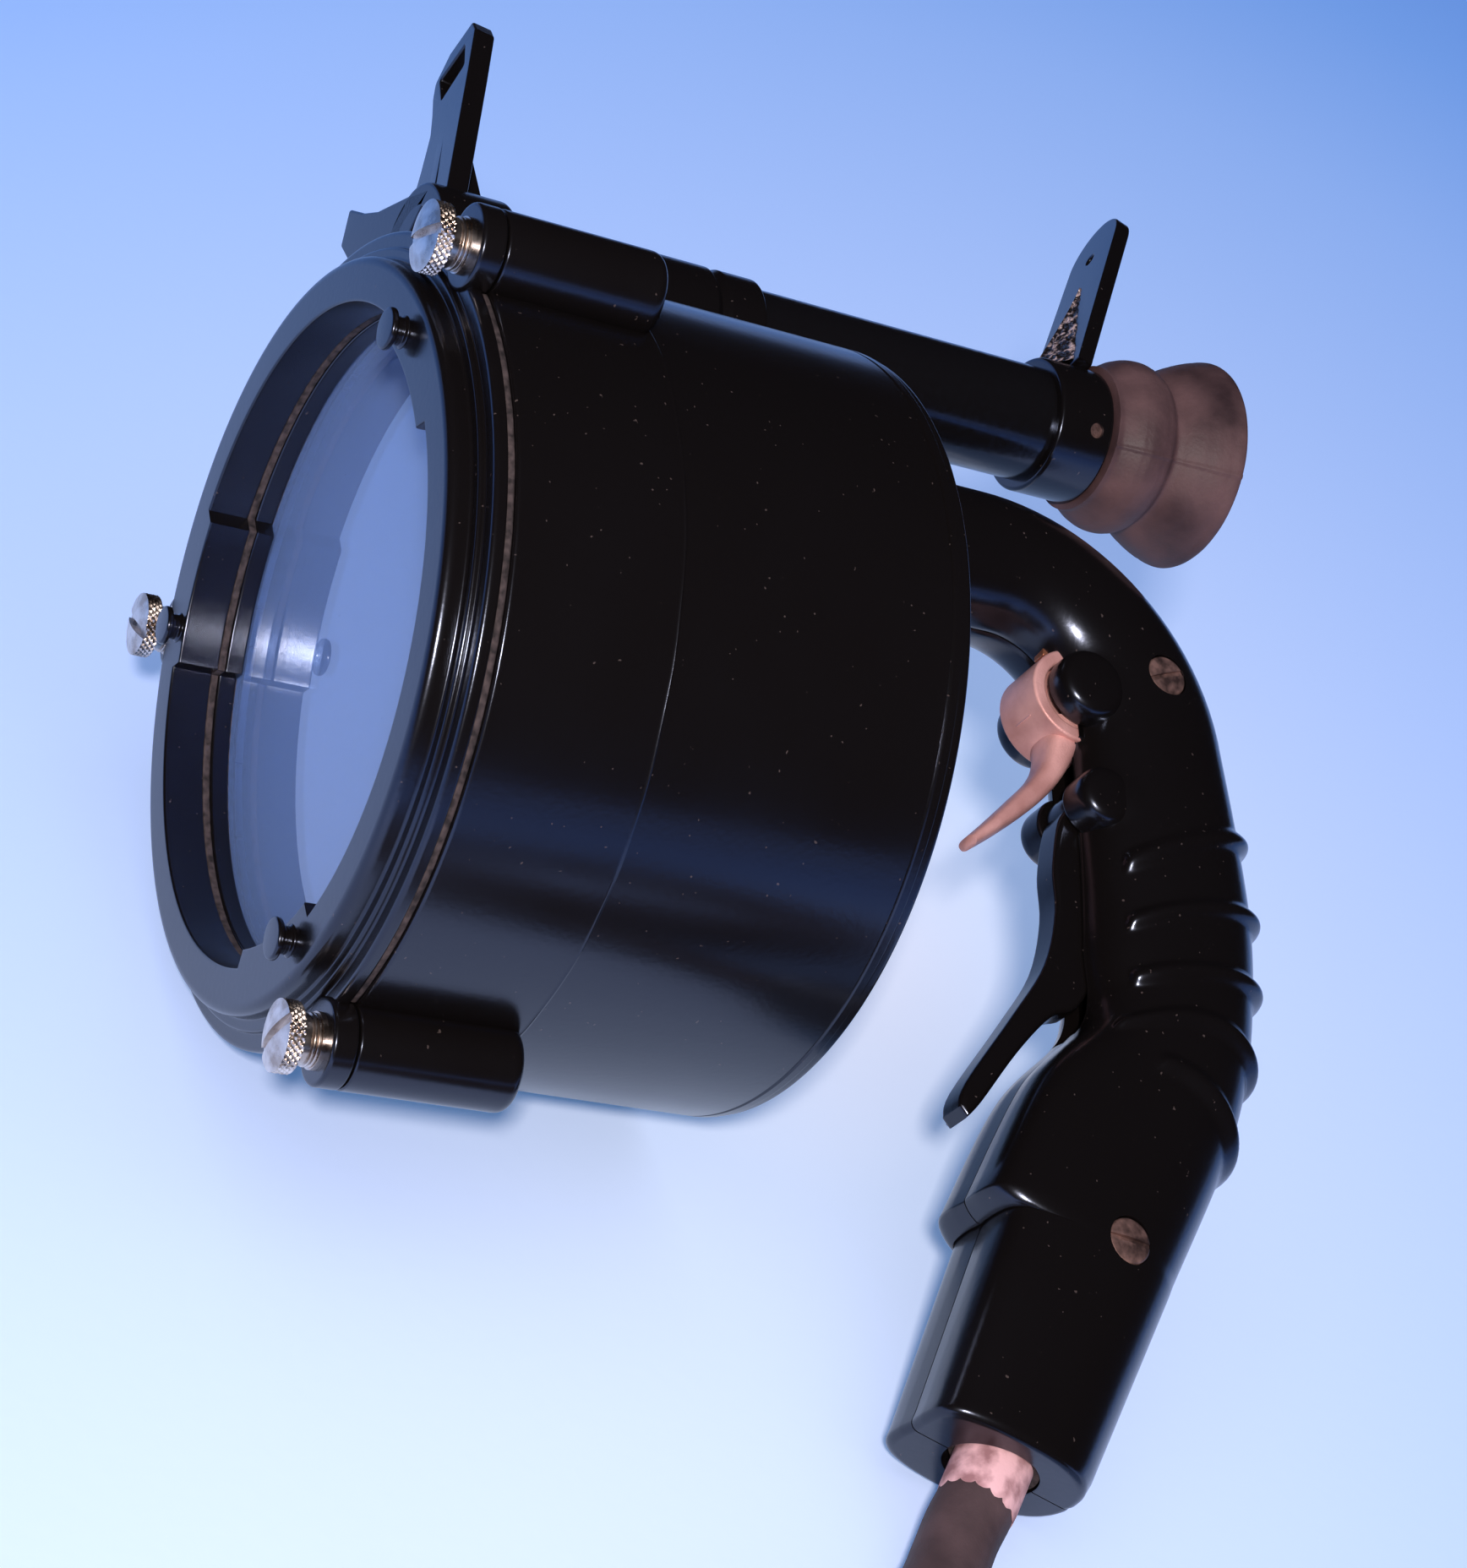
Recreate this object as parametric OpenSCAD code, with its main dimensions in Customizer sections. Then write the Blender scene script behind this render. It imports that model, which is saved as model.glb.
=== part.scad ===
// Hand-held daylight signalling lamp: drum, reflector, telescope sight and pistol grip.
// It is drawn upright round the beam axis (beam along -Y, sights on +Z) and then laid on its side.

/* [Drum] */
// Outer radius of the drum casing
drum_r = 73; // [70:0.5:78]
// Length of the drum casing, front rim to rear edge
drum_len = 84.25; // [80:0.5:92]
// Wall of the drum casing
drum_wall = 4; // [3:0.25:5]
// Thickness of the rear cover
cover_t = 2; // [2:0.25:3]
// Width of the front, from the outside of the drum to the round opening
front_w = 14; // [13:0.25:16]
// Thickness of the front lip of the drum
lip_t = 3.5; // [3:0.25:5]
// How far the three tabs stand in from the opening
tab_in = 3.2; // [2:0.2:4]
// Width of each tab as an angle
tab_angle = 29; // [20:1:40]

/* [Bezel] */
// How far the raised rim of the bezel stands in from the outside of the drum
rim_in = 5.6; // [4:0.2:7]
// Depth of the bezel, front face to gasket
bezel_t = 7.9; // [6.5:0.1:10]
// Thickness of the wide flange of the bezel
flange_t = 2.45; // [2:0.05:3]
// Thickness of the gasket
gasket_t = 1.5; // [1:0.1:2]
// How far the gasket stands in from the outside of the drum
gasket_in = 0.6; // [0.2:0.1:1.5]

/* [Lugs and screws] */
// How far the screw axes lie outside the drum
lug_out = 4.2; // [3:0.2:6]
// Radius of the lugs and ears
lug_r = 7.6; // [7.2:0.1:10]
// Length of the lugs along the drum
lug_len = 30; // [24:1:36]
// Diameter of the thumb screw shanks
screw_d = 5; // [4:0.25:6]
// Diameter of the knurled heads
knob_d = 12.5; // [11:0.1:14]
// Length of the knurled band
knob_t = 3.1; // [2.5:0.1:4.5]
// Length of the plain neck behind the head
neck_t = 3.4; // [2.5:0.1:5]
// Diameter of the plain neck
neck_d = 8.8; // [8:0.1:9.6]
// Diameter of the threaded inserts
insert_d = 9; // [8:0.25:10]
// Length of the threaded inserts
insert_len = 20; // [16:0.5:24]
// Running clearance of turning parts, on the radius
run_gap = 0.05; // [0.03:0.01:0.09]
// Clearance of parts that sit in or beside each other
seat_gap = 0.3; // [0.2:0.05:0.5]

/* [Filter studs] */
// How far the axes of the three studs lie outside the opening
stud_out = 0.7; // [0:0.1:2]
// Diameter of the stud heads
stud_d = 7.4; // [6.4:0.2:9]
// Diameter of the waist under the head
stud_waist_d = 4.8; // [4:0.2:5.4]
// Height of a stud over the bezel
stud_h = 3.3; // [2.7:0.1:5]

/* [Optics] */
// How far the front glass laps over the edge of the opening
glass_lap = 3.5; // [2.5:0.25:4]
// Thickness of the front glass
glass_t = 3; // [2:0.25:4]
// How far the edge of the reflector stands in from the outside of the drum
mirror_in = 23; // [22:0.5:27]
// Focal length of the reflector
focal_len = 17; // [16:0.25:19]
// Distance of the focus in front of the rear edge of the drum
focus_in = 27; // [26:0.5:29]
// Thickness of the reflector
mirror_t = 1.6; // [1.2:0.1:2]
// Radius of the hole in the reflector for the lamp holder
mirror_hole_r = 13; // [12:0.5:15]
// Radius of the bulb
bulb_r = 9; // [7:0.5:10]
// Radius of the lamp holder
holder_r = 9.5; // [8.5:0.25:10]
// Radius of the shade in front of the bulb
shade_r = 13; // [11:0.5:15]

/* [Telescope] */
// Height of the telescope axis over the outside of the drum
tel_up = 16; // [15.6:0.2:19]
// Outer radius of the telescope tube
tel_r = 12.1; // [10.5:0.1:12.6]
// Wall of the telescope tube
tel_wall = 1.5; // [1.2:0.1:2]
// Front end of the telescope tube
tel_y0 = 20; // [19:0.5:24]
// Rear end of the telescope tube
tel_y1 = 172; // [165:0.5:178]
// Wall of the front collar
front_collar_wall = 1.5; // [1.2:0.1:2.5]
// Length of the front collar
front_collar_len = 24; // [20:0.5:28]
// Wall of the rear collar
rear_collar_wall = 2.2; // [2:0.1:3.5]
// Length of the rear collar
rear_collar_len = 13; // [10:0.5:16]
// Radius of the eyecup at its rim
eyecup_r = 22.6; // [20:0.2:24]
// Length of the eyecup
eyecup_len = 28; // [25:0.5:34]

/* [Sights] */
// Height of the sight line over the telescope axis
sight_up = 49.4; // [45:0.2:53]
// Height of the tip of the front sight over the sight line
front_tip = 8; // [6:0.5:12]
// Lean of the front sight to the rear, in degrees
front_lean = 10; // [6:1:14]
// Half width of the front sight at its window
front_half_w = 9.5; // [8:0.5:11]
// Thickness of the sight plates
sight_t = 4.4; // [2.5:0.1:5]
// Lean of the rear sight to the rear, in degrees
rear_lean = 23; // [15:1:26]
// Diameter of the peep hole
peep_d = 2.5; // [2:0.1:4]

/* [Grip] */
// Half width of the grip at the bend
grip_half_w = 15.2; // [14:0.1:16]
// Wall of the grip halves
grip_wall = 3; // [2.5:0.1:3.5]
// Height of the ribs on the back of the grip
rib_h = 2; // [1:0.1:2.5]
// Diameter of the heads of the grip screws
grip_screw_d = 9; // [7:0.25:10]
// Diameter of the trigger and lever pins
pin_d = 4; // [3:0.1:4.5]

/* [Trigger and lever] */
// Radius of the hood of the trigger round its pin
hood_r = 10.5; // [9:0.1:11]
// Width of the hood of the trigger
hood_w = 13; // [11:0.25:14]
// Width of the blade of the trigger
blade_w = 7; // [6:0.25:9]
// Width of the switch lever
lever_w = 7; // [6:0.25:8]
// Pull of the trigger, in degrees
trigger_pull = 7; // [4:0.5:8]
// Diameter of the switch plunger
plunger_d = 4; // [3:0.25:5]

/* [Cable] */
// Diameter of the cable
cable_d = 14; // [12:0.5:14.5]
// Mean radius of the coil of spare cable
coil_r = 80; // [76:1:90]
// Distance from turn to turn of the coil
coil_pitch = 15.2; // [15.2:0.2:18]

/* [Hidden] */
$fn = 64;
opening_r = drum_r - front_w;
rim_r = drum_r - rim_in;
gasket_r = drum_r - gasket_in;
lug_circle = drum_r + lug_out;
stud_circle = opening_r + stud_out;
glass_r = opening_r + glass_lap;
mirror_r = drum_r - mirror_in;
tel_z = drum_r + tel_up;
front_collar_r = tel_r + front_collar_wall;
rear_collar_r = tel_r + rear_collar_wall;
sight_z = tel_z + sight_up;
lip_y = gasket_t / 2;
drum_y1 = lip_y + drum_len;
back_y = drum_y1 + cover_t;
face_y = -lip_y - bezel_t;
flange_y = -lip_y - flange_t;
step_y = flange_y - 1;
drum_in = drum_r - drum_wall;
lug_angles = [30, 150, 270];
tab_end_angle = 7;
ear_y0 = flange_y - 0.75;
ear_y1 = lip_y - seat_gap;
seat_y = lip_y + lip_t;
seal_lip = 0.5;
glass_y = seat_y + seal_lip;
seal_y1 = glass_y + glass_t + seal_lip;
seal_r = glass_r + 1.5;
ring_y1 = seal_y1 + 1.5;
washer_t = 0.9;
neck_y1 = ear_y0 - washer_t;
neck_y0 = neck_y1 - neck_t;
knob_y0 = neck_y0 - knob_t;
dome_t = 0.8;
focus_y = drum_y1 - focus_in;
vertex_y = focus_y + focal_len;
rim_y = vertex_y - mirror_r * mirror_r / (4 * focal_len);
carrier_r = mirror_r + 3;
carrier_t = 2.2;
carrier_y0 = rim_y + mirror_t;
carrier_y1 = carrier_y0 + 6;
arm_x = carrier_r + 1;
bracket_x0 = arm_x + seat_gap;
bracket_x1 = bracket_x0 + 3;
crank_r = 3.4;
crank_hole_r = 2;
crank_pin_r = 1.5;
crank_half_w = 2.9;
arm_half_w = 5;
small_screw_d = 2.6;
foot_screw_x = bracket_x1 + 4.6;
holder_screw_x = holder_r + 3;
crank_z = carrier_r - carrier_t / 2;
crank_y = focus_y + 3;
eye_y0 = tel_y1 + 0.5;
collar_y0 = tel_y1 - rear_collar_len;
saddle_y0 = drum_y1 - 19;
saddle_y1 = drum_y1 - 1;
front_collar_y0 = saddle_y0 - 1;
front_collar_y1 = front_collar_y0 + front_collar_len;
groove_y = front_collar_y0 + 0.6 * front_collar_len;
collar_screw_y = front_collar_y1 - 4;
collar_screw_r = 2.3;
rod_z = crank_z;
// Middle of the grip's neck on the rear cover, as [y, z]: the rod runs through it.
// Everything on the grip is placed from here.
grip_at = [back_y, rod_z - crank_half_w];
// Trigger pivot and lever pivot
trig_p = grip_at + [71, -29.5];
lever_p = grip_at + [71.5, -54];
rod_t = 2;
rod_x = 3.2;
// Exit of the cable from the heel and its direction, as [x, y, z]
cable_dir = [0, -0.507, -0.862];
heel_c = [0, grip_at[0] + 33.45, grip_at[1] - 188.5];
plunger_z = lever_p[1] - 31;

// Outline of the grip, pairs of front and back points from the middle of its neck, with half widths
bend_c = grip_at + [51, -39.5];
bend_r = 54.5;
inner_c = grip_at + [55, -30];
inner_r = 15;
neck_w = grip_half_w - 0.9;
low_front = [for (p = [[70, -30], [69, -49], [67.5, -69], [65.6, -85], [63.6, -100], [49.5, -114.2],
    [34.2, -138.4]])
    grip_at + p];
low_back = [for (p = [[105.5, -39.5], [106.3, -57.8], [106.2, -75.8], [103.9, -91.8], [99, -110.1],
    [91.2, -127.6], [75.6, -152.5]])
    grip_at + p];
low_w = [for (d = [-0.3, -0.1, 0.1, 0.2, 0.2, 0, -0.3]) grip_half_w + d];
step_front = grip_at + [37.4, -142.6];
step_back = grip_at + [73.4, -156];
heel_front = grip_at + [17.5, -182.2];
heel_back = grip_at + [49.4, -194.8];
heel_w = grip_half_w - 1.2;
section_n = 2.4;
heel_edge_r = 1.3;
heel_axis = [0.449, 0.893];
rim_front = heel_front + heel_edge_r * heel_axis;
rim_back = heel_back + heel_edge_r * heel_axis;

// Roll of the lamp as it lies: the lowest point of the heel comes level with the drum
function heel_low(a) =
    let (m = section_n / (section_n - 1),
         half = (rim_front[1] - rim_back[1]) / 2,
         mid = (rim_front[1] + rim_back[1]) / 2)
    -mid * sin(a) + pow(pow(half * sin(a), m) + pow(heel_w * cos(a), m), 1 / m);
function solve_roll(lo, hi, n) = n == 0 ? (lo + hi) / 2 :
    heel_low((lo + hi) / 2) > drum_r ? solve_roll(lo, (lo + hi) / 2, n - 1) :
    solve_roll((lo + hi) / 2, hi, n - 1);
roll = solve_roll(10, 40, 30);

// Middle of the box of the lamp as it lies: the rear sight and the heel reach furthest
leaf_r = 9.2;
leaf_mid = 2.2;
leaf_z = tel_z + rear_collar_r + leaf_up(0) * cos(rear_lean) + 0.3 * sight_t * sin(rear_lean);
far_left = -leaf_z * cos(roll) - leaf_r * norm([sin(roll), cos(rear_lean) * cos(roll)]);
far_right = let (m = section_n / (section_n - 1), half = (rim_front[1] - rim_back[1]) / 2)
    -(rim_front[1] + rim_back[1]) / 2 * cos(roll)
    + pow(pow(half * cos(roll), m) + pow(heel_w * sin(roll), m), 1 / m);
x_shift = -(far_left + far_right) / 2;
// Height of the leaf's round top over its foot, along its lean
function leaf_up(x) = (sight_z - tel_z - rear_collar_r) / cos(rear_lean) + leaf_mid + x;
y_shift = -(min(face_y - stud_h, knob_y0 - dome_t) + eye_y0 + eyecup_len) / 2;

// The lamp lying on its side
module lay() {
    translate([x_shift, y_shift, drum_r])
        rotate([0, roll - 90, 0])
            children();
}

// A solid of revolution about the beam axis, from [radius, y] points
module turned(points) {
    rotate([-90, 0, 0])
        rotate_extrude($fn = 96)
            polygon(points);
}

// Places what is drawn at +X round the beam axis
module around(angle) {
    rotate([0, -angle, 0])
        children();
}

// A round bar along Y
module bar_y(x, z, r, y0, y1) {
    translate([x, y0, z])
        rotate([-90, 0, 0])
            cylinder(h = y1 - y0, r = r);
}

// A round bar along X
module bar_x(y, z, r, x0, x1) {
    translate([x0, y, z])
        rotate([0, 90, 0])
            cylinder(h = x1 - x0, r = r);
}

// A plate standing across X, from an outline in [y, z]
module slab(x0, x1) {
    translate([x0, 0, 0])
        rotate([90, 0, 90])
            linear_extrude(x1 - x0)
                children();
}

// A part of a ring round the beam axis
module sector(r0, r1, y0, y1, a0, a1) {
    rotate([-90, 0, 0])
        rotate([0, 0, -a1])
            rotate_extrude(angle = a1 - a0, $fn = 96)
                translate([r0, y0])
                    square([r1 - r0, y1 - y0]);
}

// The three tabs at the opening, each reaching tab_end_angle past its lug
module tabs(y0, y1) {
    for (a = lug_angles)
        sector(opening_r - tab_in, opening_r + 0.6, y0, y1, a + tab_end_angle - tab_angle,
            a + tab_end_angle);
}

// A smooth curve through points, n steps from each to the next
function bend4(a, b, c, d, t) = 0.5 * (2 * b + (c - a) * t + (2 * a - 5 * b + 4 * c - d) * t * t
    + (3 * b - a - 3 * c + d) * t * t * t);
function at_curve(p, s) =
    let (m = len(p) - 1, i = min(floor(s), m - 1), t = s - i)
    bend4(p[max(i - 1, 0)], p[i], p[i + 1], p[min(i + 2, m)], t);
function curve(p, n) = [for (k = [0 : n * (len(p) - 1)]) at_curve(p, k / n)];

// DRUM

module drum_casing() {
    color([0.05, 0.04, 0.04]) lay() difference() {
        union() {
            turned([[opening_r, lip_y], [drum_r, lip_y], [drum_r, drum_y1], [drum_in, drum_y1],
                [drum_in, seal_y1], [seal_r, seal_y1], [seal_r, seat_y], [opening_r, seat_y]]);
            tabs(lip_y, seat_y);
            saddle();
        }
        for (a = lug_angles)
            around(a) {
                bar_y(lug_circle, 0, insert_d / 2, lip_y - 1, lip_y + insert_len);
                bar_y(drum_in - 2.2, 0, 0.8, seal_y1 - 3, seal_y1 + 1);
            }
    }
}

// The three lugs for the screws, moulded on the casing
module drum_lugs() {
    color([0.05, 0.04, 0.04]) lay()
        for (a = lug_angles)
            around(a) difference() {
                lug();
                turned([[0, 0], [drum_r, 0], [drum_r, lug_len + 2], [0, lug_len + 2]]);
                bar_y(lug_circle, 0, insert_d / 2, lip_y - 1, lip_y + insert_len);
            }
}

module lug() {
    round_r = 4;
    translate([lug_circle, lip_y, 0])
        rotate([-90, 0, 0])
            rotate_extrude($fn = 48)
                union() {
                    square([lug_r, lug_len - round_r]);
                    square([lug_r - round_r, lug_len]);
                    intersection() {
                        translate([lug_r - round_r, lug_len - round_r])
                            circle(r = round_r, $fn = 32);
                        translate([0, lug_len - round_r - 1])
                            square([lug_r, round_r + 1]);
                    }
                }
}

// Pad on the drum that carries the front collar of the telescope
module saddle() {
    difference() {
        translate([-9, saddle_y0, drum_in + 1])
            cube([18, saddle_y1 - saddle_y0, tel_z - drum_in - 8]);
        bar_y(0, tel_z, front_collar_r, saddle_y0 - 1, saddle_y1 + 1);
    }
}

module rear_cover() {
    edge = 1.4;
    color([0.06, 0.05, 0.05]) lay() difference() {
        turned([[0, drum_y1], [drum_r - 0.3, drum_y1], [drum_r - 0.3, back_y - edge],
            [drum_r - 0.3 - edge * 0.3, back_y - edge * 0.3], [drum_r - 0.3 - edge, back_y], [0, back_y]]);
        translate([-4.5, drum_y1 - 1, rod_z - 4])
            cube([10.2, cover_t + 2, 8]);
        for (p = neck_screw_at)
            bar_y(p[0], p[1], 2.1, drum_y1 - 1, back_y + 1);
        for (x = [foot_screw_x, -foot_screw_x, holder_screw_x, -holder_screw_x])
            bar_y(x, 0, small_screw_d / 2, drum_y1 - 1, drum_y1 + 1.6);
    }
}

module bezel_ring() {
    edge = 1.3;
    color([0.05, 0.05, 0.05]) lay() difference() {
        union() {
            turned([[opening_r - tab_in, face_y], [rim_r - edge, face_y],
                [rim_r - edge * 0.3, face_y + edge * 0.3], [rim_r, face_y + edge], [rim_r, step_y],
                [rim_r + 2.1, step_y], [rim_r + 2.1, flange_y],
                [drum_r, flange_y], [drum_r, -lip_y], [opening_r - tab_in, -lip_y]]);
            for (a = lug_angles)
                around(a)
                    bar_y(lug_circle, 0, lug_r, ear_y0, ear_y1);
        }
        for (a = lug_angles)
            sector(opening_r - tab_in - 2, opening_r, face_y - 1, -lip_y + 1, a + tab_end_angle,
                a + tab_end_angle + 120 - tab_angle);
        for (a = lug_angles)
            around(a) {
                bar_y(lug_circle, 0, screw_d / 2 + 0.4, ear_y0 - 1, ear_y1 + 1);
                bar_y(stud_circle, 0, stud_pin_r, face_y - 1, -lip_y + 1);
            }
    }
}

module gasket() {
    color([0.3, 0.28, 0.26]) lay() difference() {
        turned([[opening_r + 0.2, -lip_y], [gasket_r, -lip_y], [gasket_r, lip_y], [opening_r + 0.2, lip_y]]);
        for (a = lug_angles)
            around(a)
                bar_y(lug_circle, 0, lug_r + 0.1, -lip_y - 1, lip_y + 1);
    }
}

module front_glass() {
    color([0.7, 0.8, 0.95, 0.4]) lay()
        turned([[0, glass_y], [glass_r, glass_y], [glass_r, glass_y + glass_t], [0, glass_y + glass_t]]);
}

module glass_seal() {
    inner = opening_r + 1.2;
    color([0.15, 0.15, 0.15]) lay()
        turned([[inner, seat_y], [seal_r, seat_y], [seal_r, seal_y1], [inner, seal_y1],
            [inner, glass_y + glass_t], [glass_r, glass_y + glass_t], [glass_r, glass_y], [inner, glass_y]]);
}

module glass_retainer() {
    color([0.5, 0.5, 0.48]) lay() difference() {
        turned([[opening_r + 1.2, seal_y1], [drum_in - 0.1, seal_y1], [drum_in - 0.1, ring_y1],
            [opening_r + 1.2, ring_y1]]);
        for (a = lug_angles)
            around(a)
                bar_y(drum_in - 2.2, 0, 1, seal_y1 - 1, ring_y1 + 1);
    }
}

module retainer_screws() {
    color([0.7, 0.68, 0.6]) lay()
        for (a = lug_angles)
            around(a) {
                bar_y(drum_in - 2.2, 0, 0.8, seal_y1 - 2.8, ring_y1 + 0.1);
                bar_y(drum_in - 2.2, 0, 1.8, ring_y1, ring_y1 + 1.2);
            }
}

module threaded_inserts() {
    color([0.75, 0.6, 0.3]) lay()
        for (a = lug_angles)
            around(a) difference() {
                bar_y(lug_circle, 0, insert_d / 2, lip_y, lip_y + insert_len);
                bar_y(lug_circle, 0, screw_d / 2 + run_gap, lip_y - 1, lip_y + insert_len - 1.5);
            }
}

module screw_washers() {
    color([0.8, 0.78, 0.74]) lay()
        for (a = lug_angles)
            around(a) difference() {
                bar_y(lug_circle, 0, neck_d / 2 + 0.5, ear_y0 - washer_t, ear_y0);
                bar_y(lug_circle, 0, screw_d / 2 + run_gap, ear_y0 - washer_t - 1, ear_y0 + 1);
            }
}

// Thumb screw: shank, neck with two ring grooves, knurled head with a domed face
module thumb_screw(angle) {
    shank_y1 = lip_y + insert_len - 2;
    neck_r = neck_d / 2;
    color([0.82, 0.78, 0.74]) lay() around(angle)
        translate([lug_circle, 0, 0])
            rotate([-90, 0, 0])
                rotate_extrude($fn = 48)
                    polygon([[0, knob_y0 - dome_t], [knob_d * 0.3, knob_y0 - dome_t * 0.8],
                        [knob_d / 2 - 0.4, knob_y0], [knob_d / 2, knob_y0 + 0.4],
                        [knob_d / 2, neck_y0 - 0.4], [knob_d / 2 - 0.4, neck_y0],
                        [neck_r, neck_y0], [neck_r, neck_y1 - 1.6], [neck_r - 0.4, neck_y1 - 1.5],
                        [neck_r + 0.2, neck_y1 - 1.3], [neck_r + 0.2, neck_y1 - 0.8],
                        [neck_r - 0.3, neck_y1 - 0.7], [neck_r + 0.2, neck_y1 - 0.6],
                        [neck_r + 0.2, neck_y1 - run_gap], [screw_d / 2, neck_y1 - run_gap],
                        [screw_d / 2, shank_y1 - 1], [screw_d / 2 - 0.8, shank_y1], [0, shank_y1]]);
}

module thumb_screw_1() {
    thumb_screw(lug_angles[0]);
}

module thumb_screw_2() {
    thumb_screw(lug_angles[1]);
}

module thumb_screw_3() {
    thumb_screw(lug_angles[2]);
}

stud_pin_r = 1.6;

module filter_studs() {
    top = face_y - stud_h;
    color([0.06, 0.06, 0.06]) lay()
        for (a = lug_angles)
            around(a)
                translate([stud_circle, 0, 0])
                    rotate([-90, 0, 0])
                        rotate_extrude($fn = 48)
                            polygon([[0, top], [stud_d / 2 - 0.4, top], [stud_d / 2, top + 0.4],
                                [stud_d / 2, top + 1.1], [stud_waist_d / 2, top + 1.5],
                                [stud_waist_d / 2, face_y - 0.4], [stud_waist_d / 2 + 0.4, face_y],
                                [stud_pin_r, face_y], [stud_pin_r, -lip_y], [0, -lip_y]]);
}

// REFLECTOR AND LAMP

function dish(r) = vertex_y - r * r / (4 * focal_len);

module reflector() {
    inner = [for (k = [0 : 10]) let (r = mirror_hole_r + (mirror_r - mirror_hole_r) * k / 10) [r, dish(r)]];
    outer = [for (k = [10 : -1 : 0]) let (r = mirror_hole_r + (mirror_r - mirror_hole_r) * k / 10)
        [r, dish(r) + mirror_t * sqrt(1 + pow(r / (2 * focal_len), 2))]];
    color([0.85, 0.87, 0.9]) lay() union() {
        turned(concat(inner, [[mirror_r, rim_y + mirror_t]], outer));
        turned([[mirror_r - 1, rim_y], [carrier_r, rim_y], [carrier_r, carrier_y0],
            [mirror_r - 1, carrier_y0]]);
    }
}

module reflector_carrier() {
    color([0.35, 0.35, 0.36]) lay() difference() {
        union() {
            turned([[carrier_r - carrier_t, carrier_y0], [carrier_r, carrier_y0],
                [carrier_r, carrier_y1], [carrier_r - carrier_t, carrier_y1]]);
            for (s = [0, 1])
                mirror([s, 0, 0]) {
                    translate([carrier_r - carrier_t, carrier_y1 - 3, -arm_half_w])
                        cube([carrier_t, focus_y - carrier_y1 + 3, 2 * arm_half_w]);
                    bar_x(focus_y, 0, arm_half_w, carrier_r - carrier_t, arm_x);
                }
            translate([-crank_half_w, carrier_y1 - 3, carrier_r - carrier_t])
                cube([2 * crank_half_w, crank_y - carrier_y1 + 3, carrier_t]);
            bar_x(crank_y, crank_z, crank_r, -crank_half_w, crank_half_w);
        }
        bar_x(focus_y, 0, pin_d / 2 + run_gap, -arm_x - 1, arm_x + 1);
        bar_x(crank_y, crank_z, crank_pin_r, -crank_half_w - 1, crank_half_w + 1);
    }
}

// Two fixed arms on the rear cover that hold the trunnion pins
module reflector_bracket() {
    color([0.4, 0.4, 0.4]) lay()
        for (s = [0, 1])
            mirror([s, 0, 0]) difference() {
                union() {
                    translate([bracket_x0, focus_y, -arm_half_w])
                        cube([bracket_x1 - bracket_x0, drum_y1 - focus_y, 2 * arm_half_w]);
                    bar_x(focus_y, 0, arm_half_w, bracket_x0, bracket_x1);
                    translate([bracket_x0, drum_y1 - 3, -8])
                        cube([drum_in - 2 - bracket_x0, 3, 16]);
                }
                bar_x(focus_y, 0, pin_d / 2, bracket_x0 - 1, bracket_x1 + 1);
                bar_y(foot_screw_x, 0, small_screw_d / 2, drum_y1 - 4, drum_y1 + 1);
            }
}

module bracket_screws() {
    color([0.7, 0.68, 0.6]) lay()
        for (s = [-1, 1]) {
            bar_y(s * foot_screw_x, 0, small_screw_d / 2, drum_y1 - 3.1, drum_y1 + 1.6);
            bar_y(s * foot_screw_x, 0, small_screw_d * 0.9, drum_y1 - 4.4, drum_y1 - 3);
        }
}

module trunnion_pins() {
    color([0.75, 0.65, 0.4]) lay()
        for (s = [0, 1])
            mirror([s, 0, 0]) {
                bar_x(focus_y, 0, pin_d / 2, carrier_r - carrier_t + 0.2, bracket_x1);
                bar_x(focus_y, 0, pin_d / 2 + 1, bracket_x1, bracket_x1 + 1.4);
            }
}

module bulb_glass() {
    color([0.9, 0.9, 0.95, 0.5]) lay()
        turned(concat([[0, focus_y - 6 - bulb_r]],
            [for (a = [-80 : 10 : 60]) [bulb_r * cos(a), focus_y - 6 + bulb_r * sin(a)]],
            [[bulb_r * 0.5, focus_y + 4], [0, focus_y + 4]]));
}

module bulb_cap() {
    color([0.75, 0.6, 0.35]) lay()
        turned([[0, focus_y + 4], [bulb_r * 0.8, focus_y + 4], [bulb_r * 0.8, focus_y + 18],
            [3, focus_y + 20], [0, focus_y + 20]]);
}

module lamp_holder() {
    color([0.1, 0.1, 0.1]) lay()
        turned([[bulb_r * 0.8, focus_y + 8], [holder_r, focus_y + 8], [holder_r, drum_y1 - 2],
            [0, drum_y1 - 2], [0, focus_y + 20], [3, focus_y + 20], [bulb_r * 0.8, focus_y + 18]]);
}

module holder_flange() {
    color([0.45, 0.45, 0.45]) lay() difference() {
        turned([[0, drum_y1 - 2], [holder_r + 6, drum_y1 - 2], [holder_r + 6, drum_y1], [0, drum_y1]]);
        for (s = [-1, 1])
            bar_y(s * holder_screw_x, 0, small_screw_d / 2, drum_y1 - 3, drum_y1 + 1);
    }
}

module holder_screws() {
    color([0.7, 0.68, 0.6]) lay()
        for (s = [-1, 1]) {
            bar_y(s * holder_screw_x, 0, small_screw_d / 2, drum_y1 - 2.1, drum_y1 + 1.6);
            bar_y(s * holder_screw_x, 0, small_screw_d * 0.9, drum_y1 - 3.4, drum_y1 - 2);
        }
}

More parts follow.
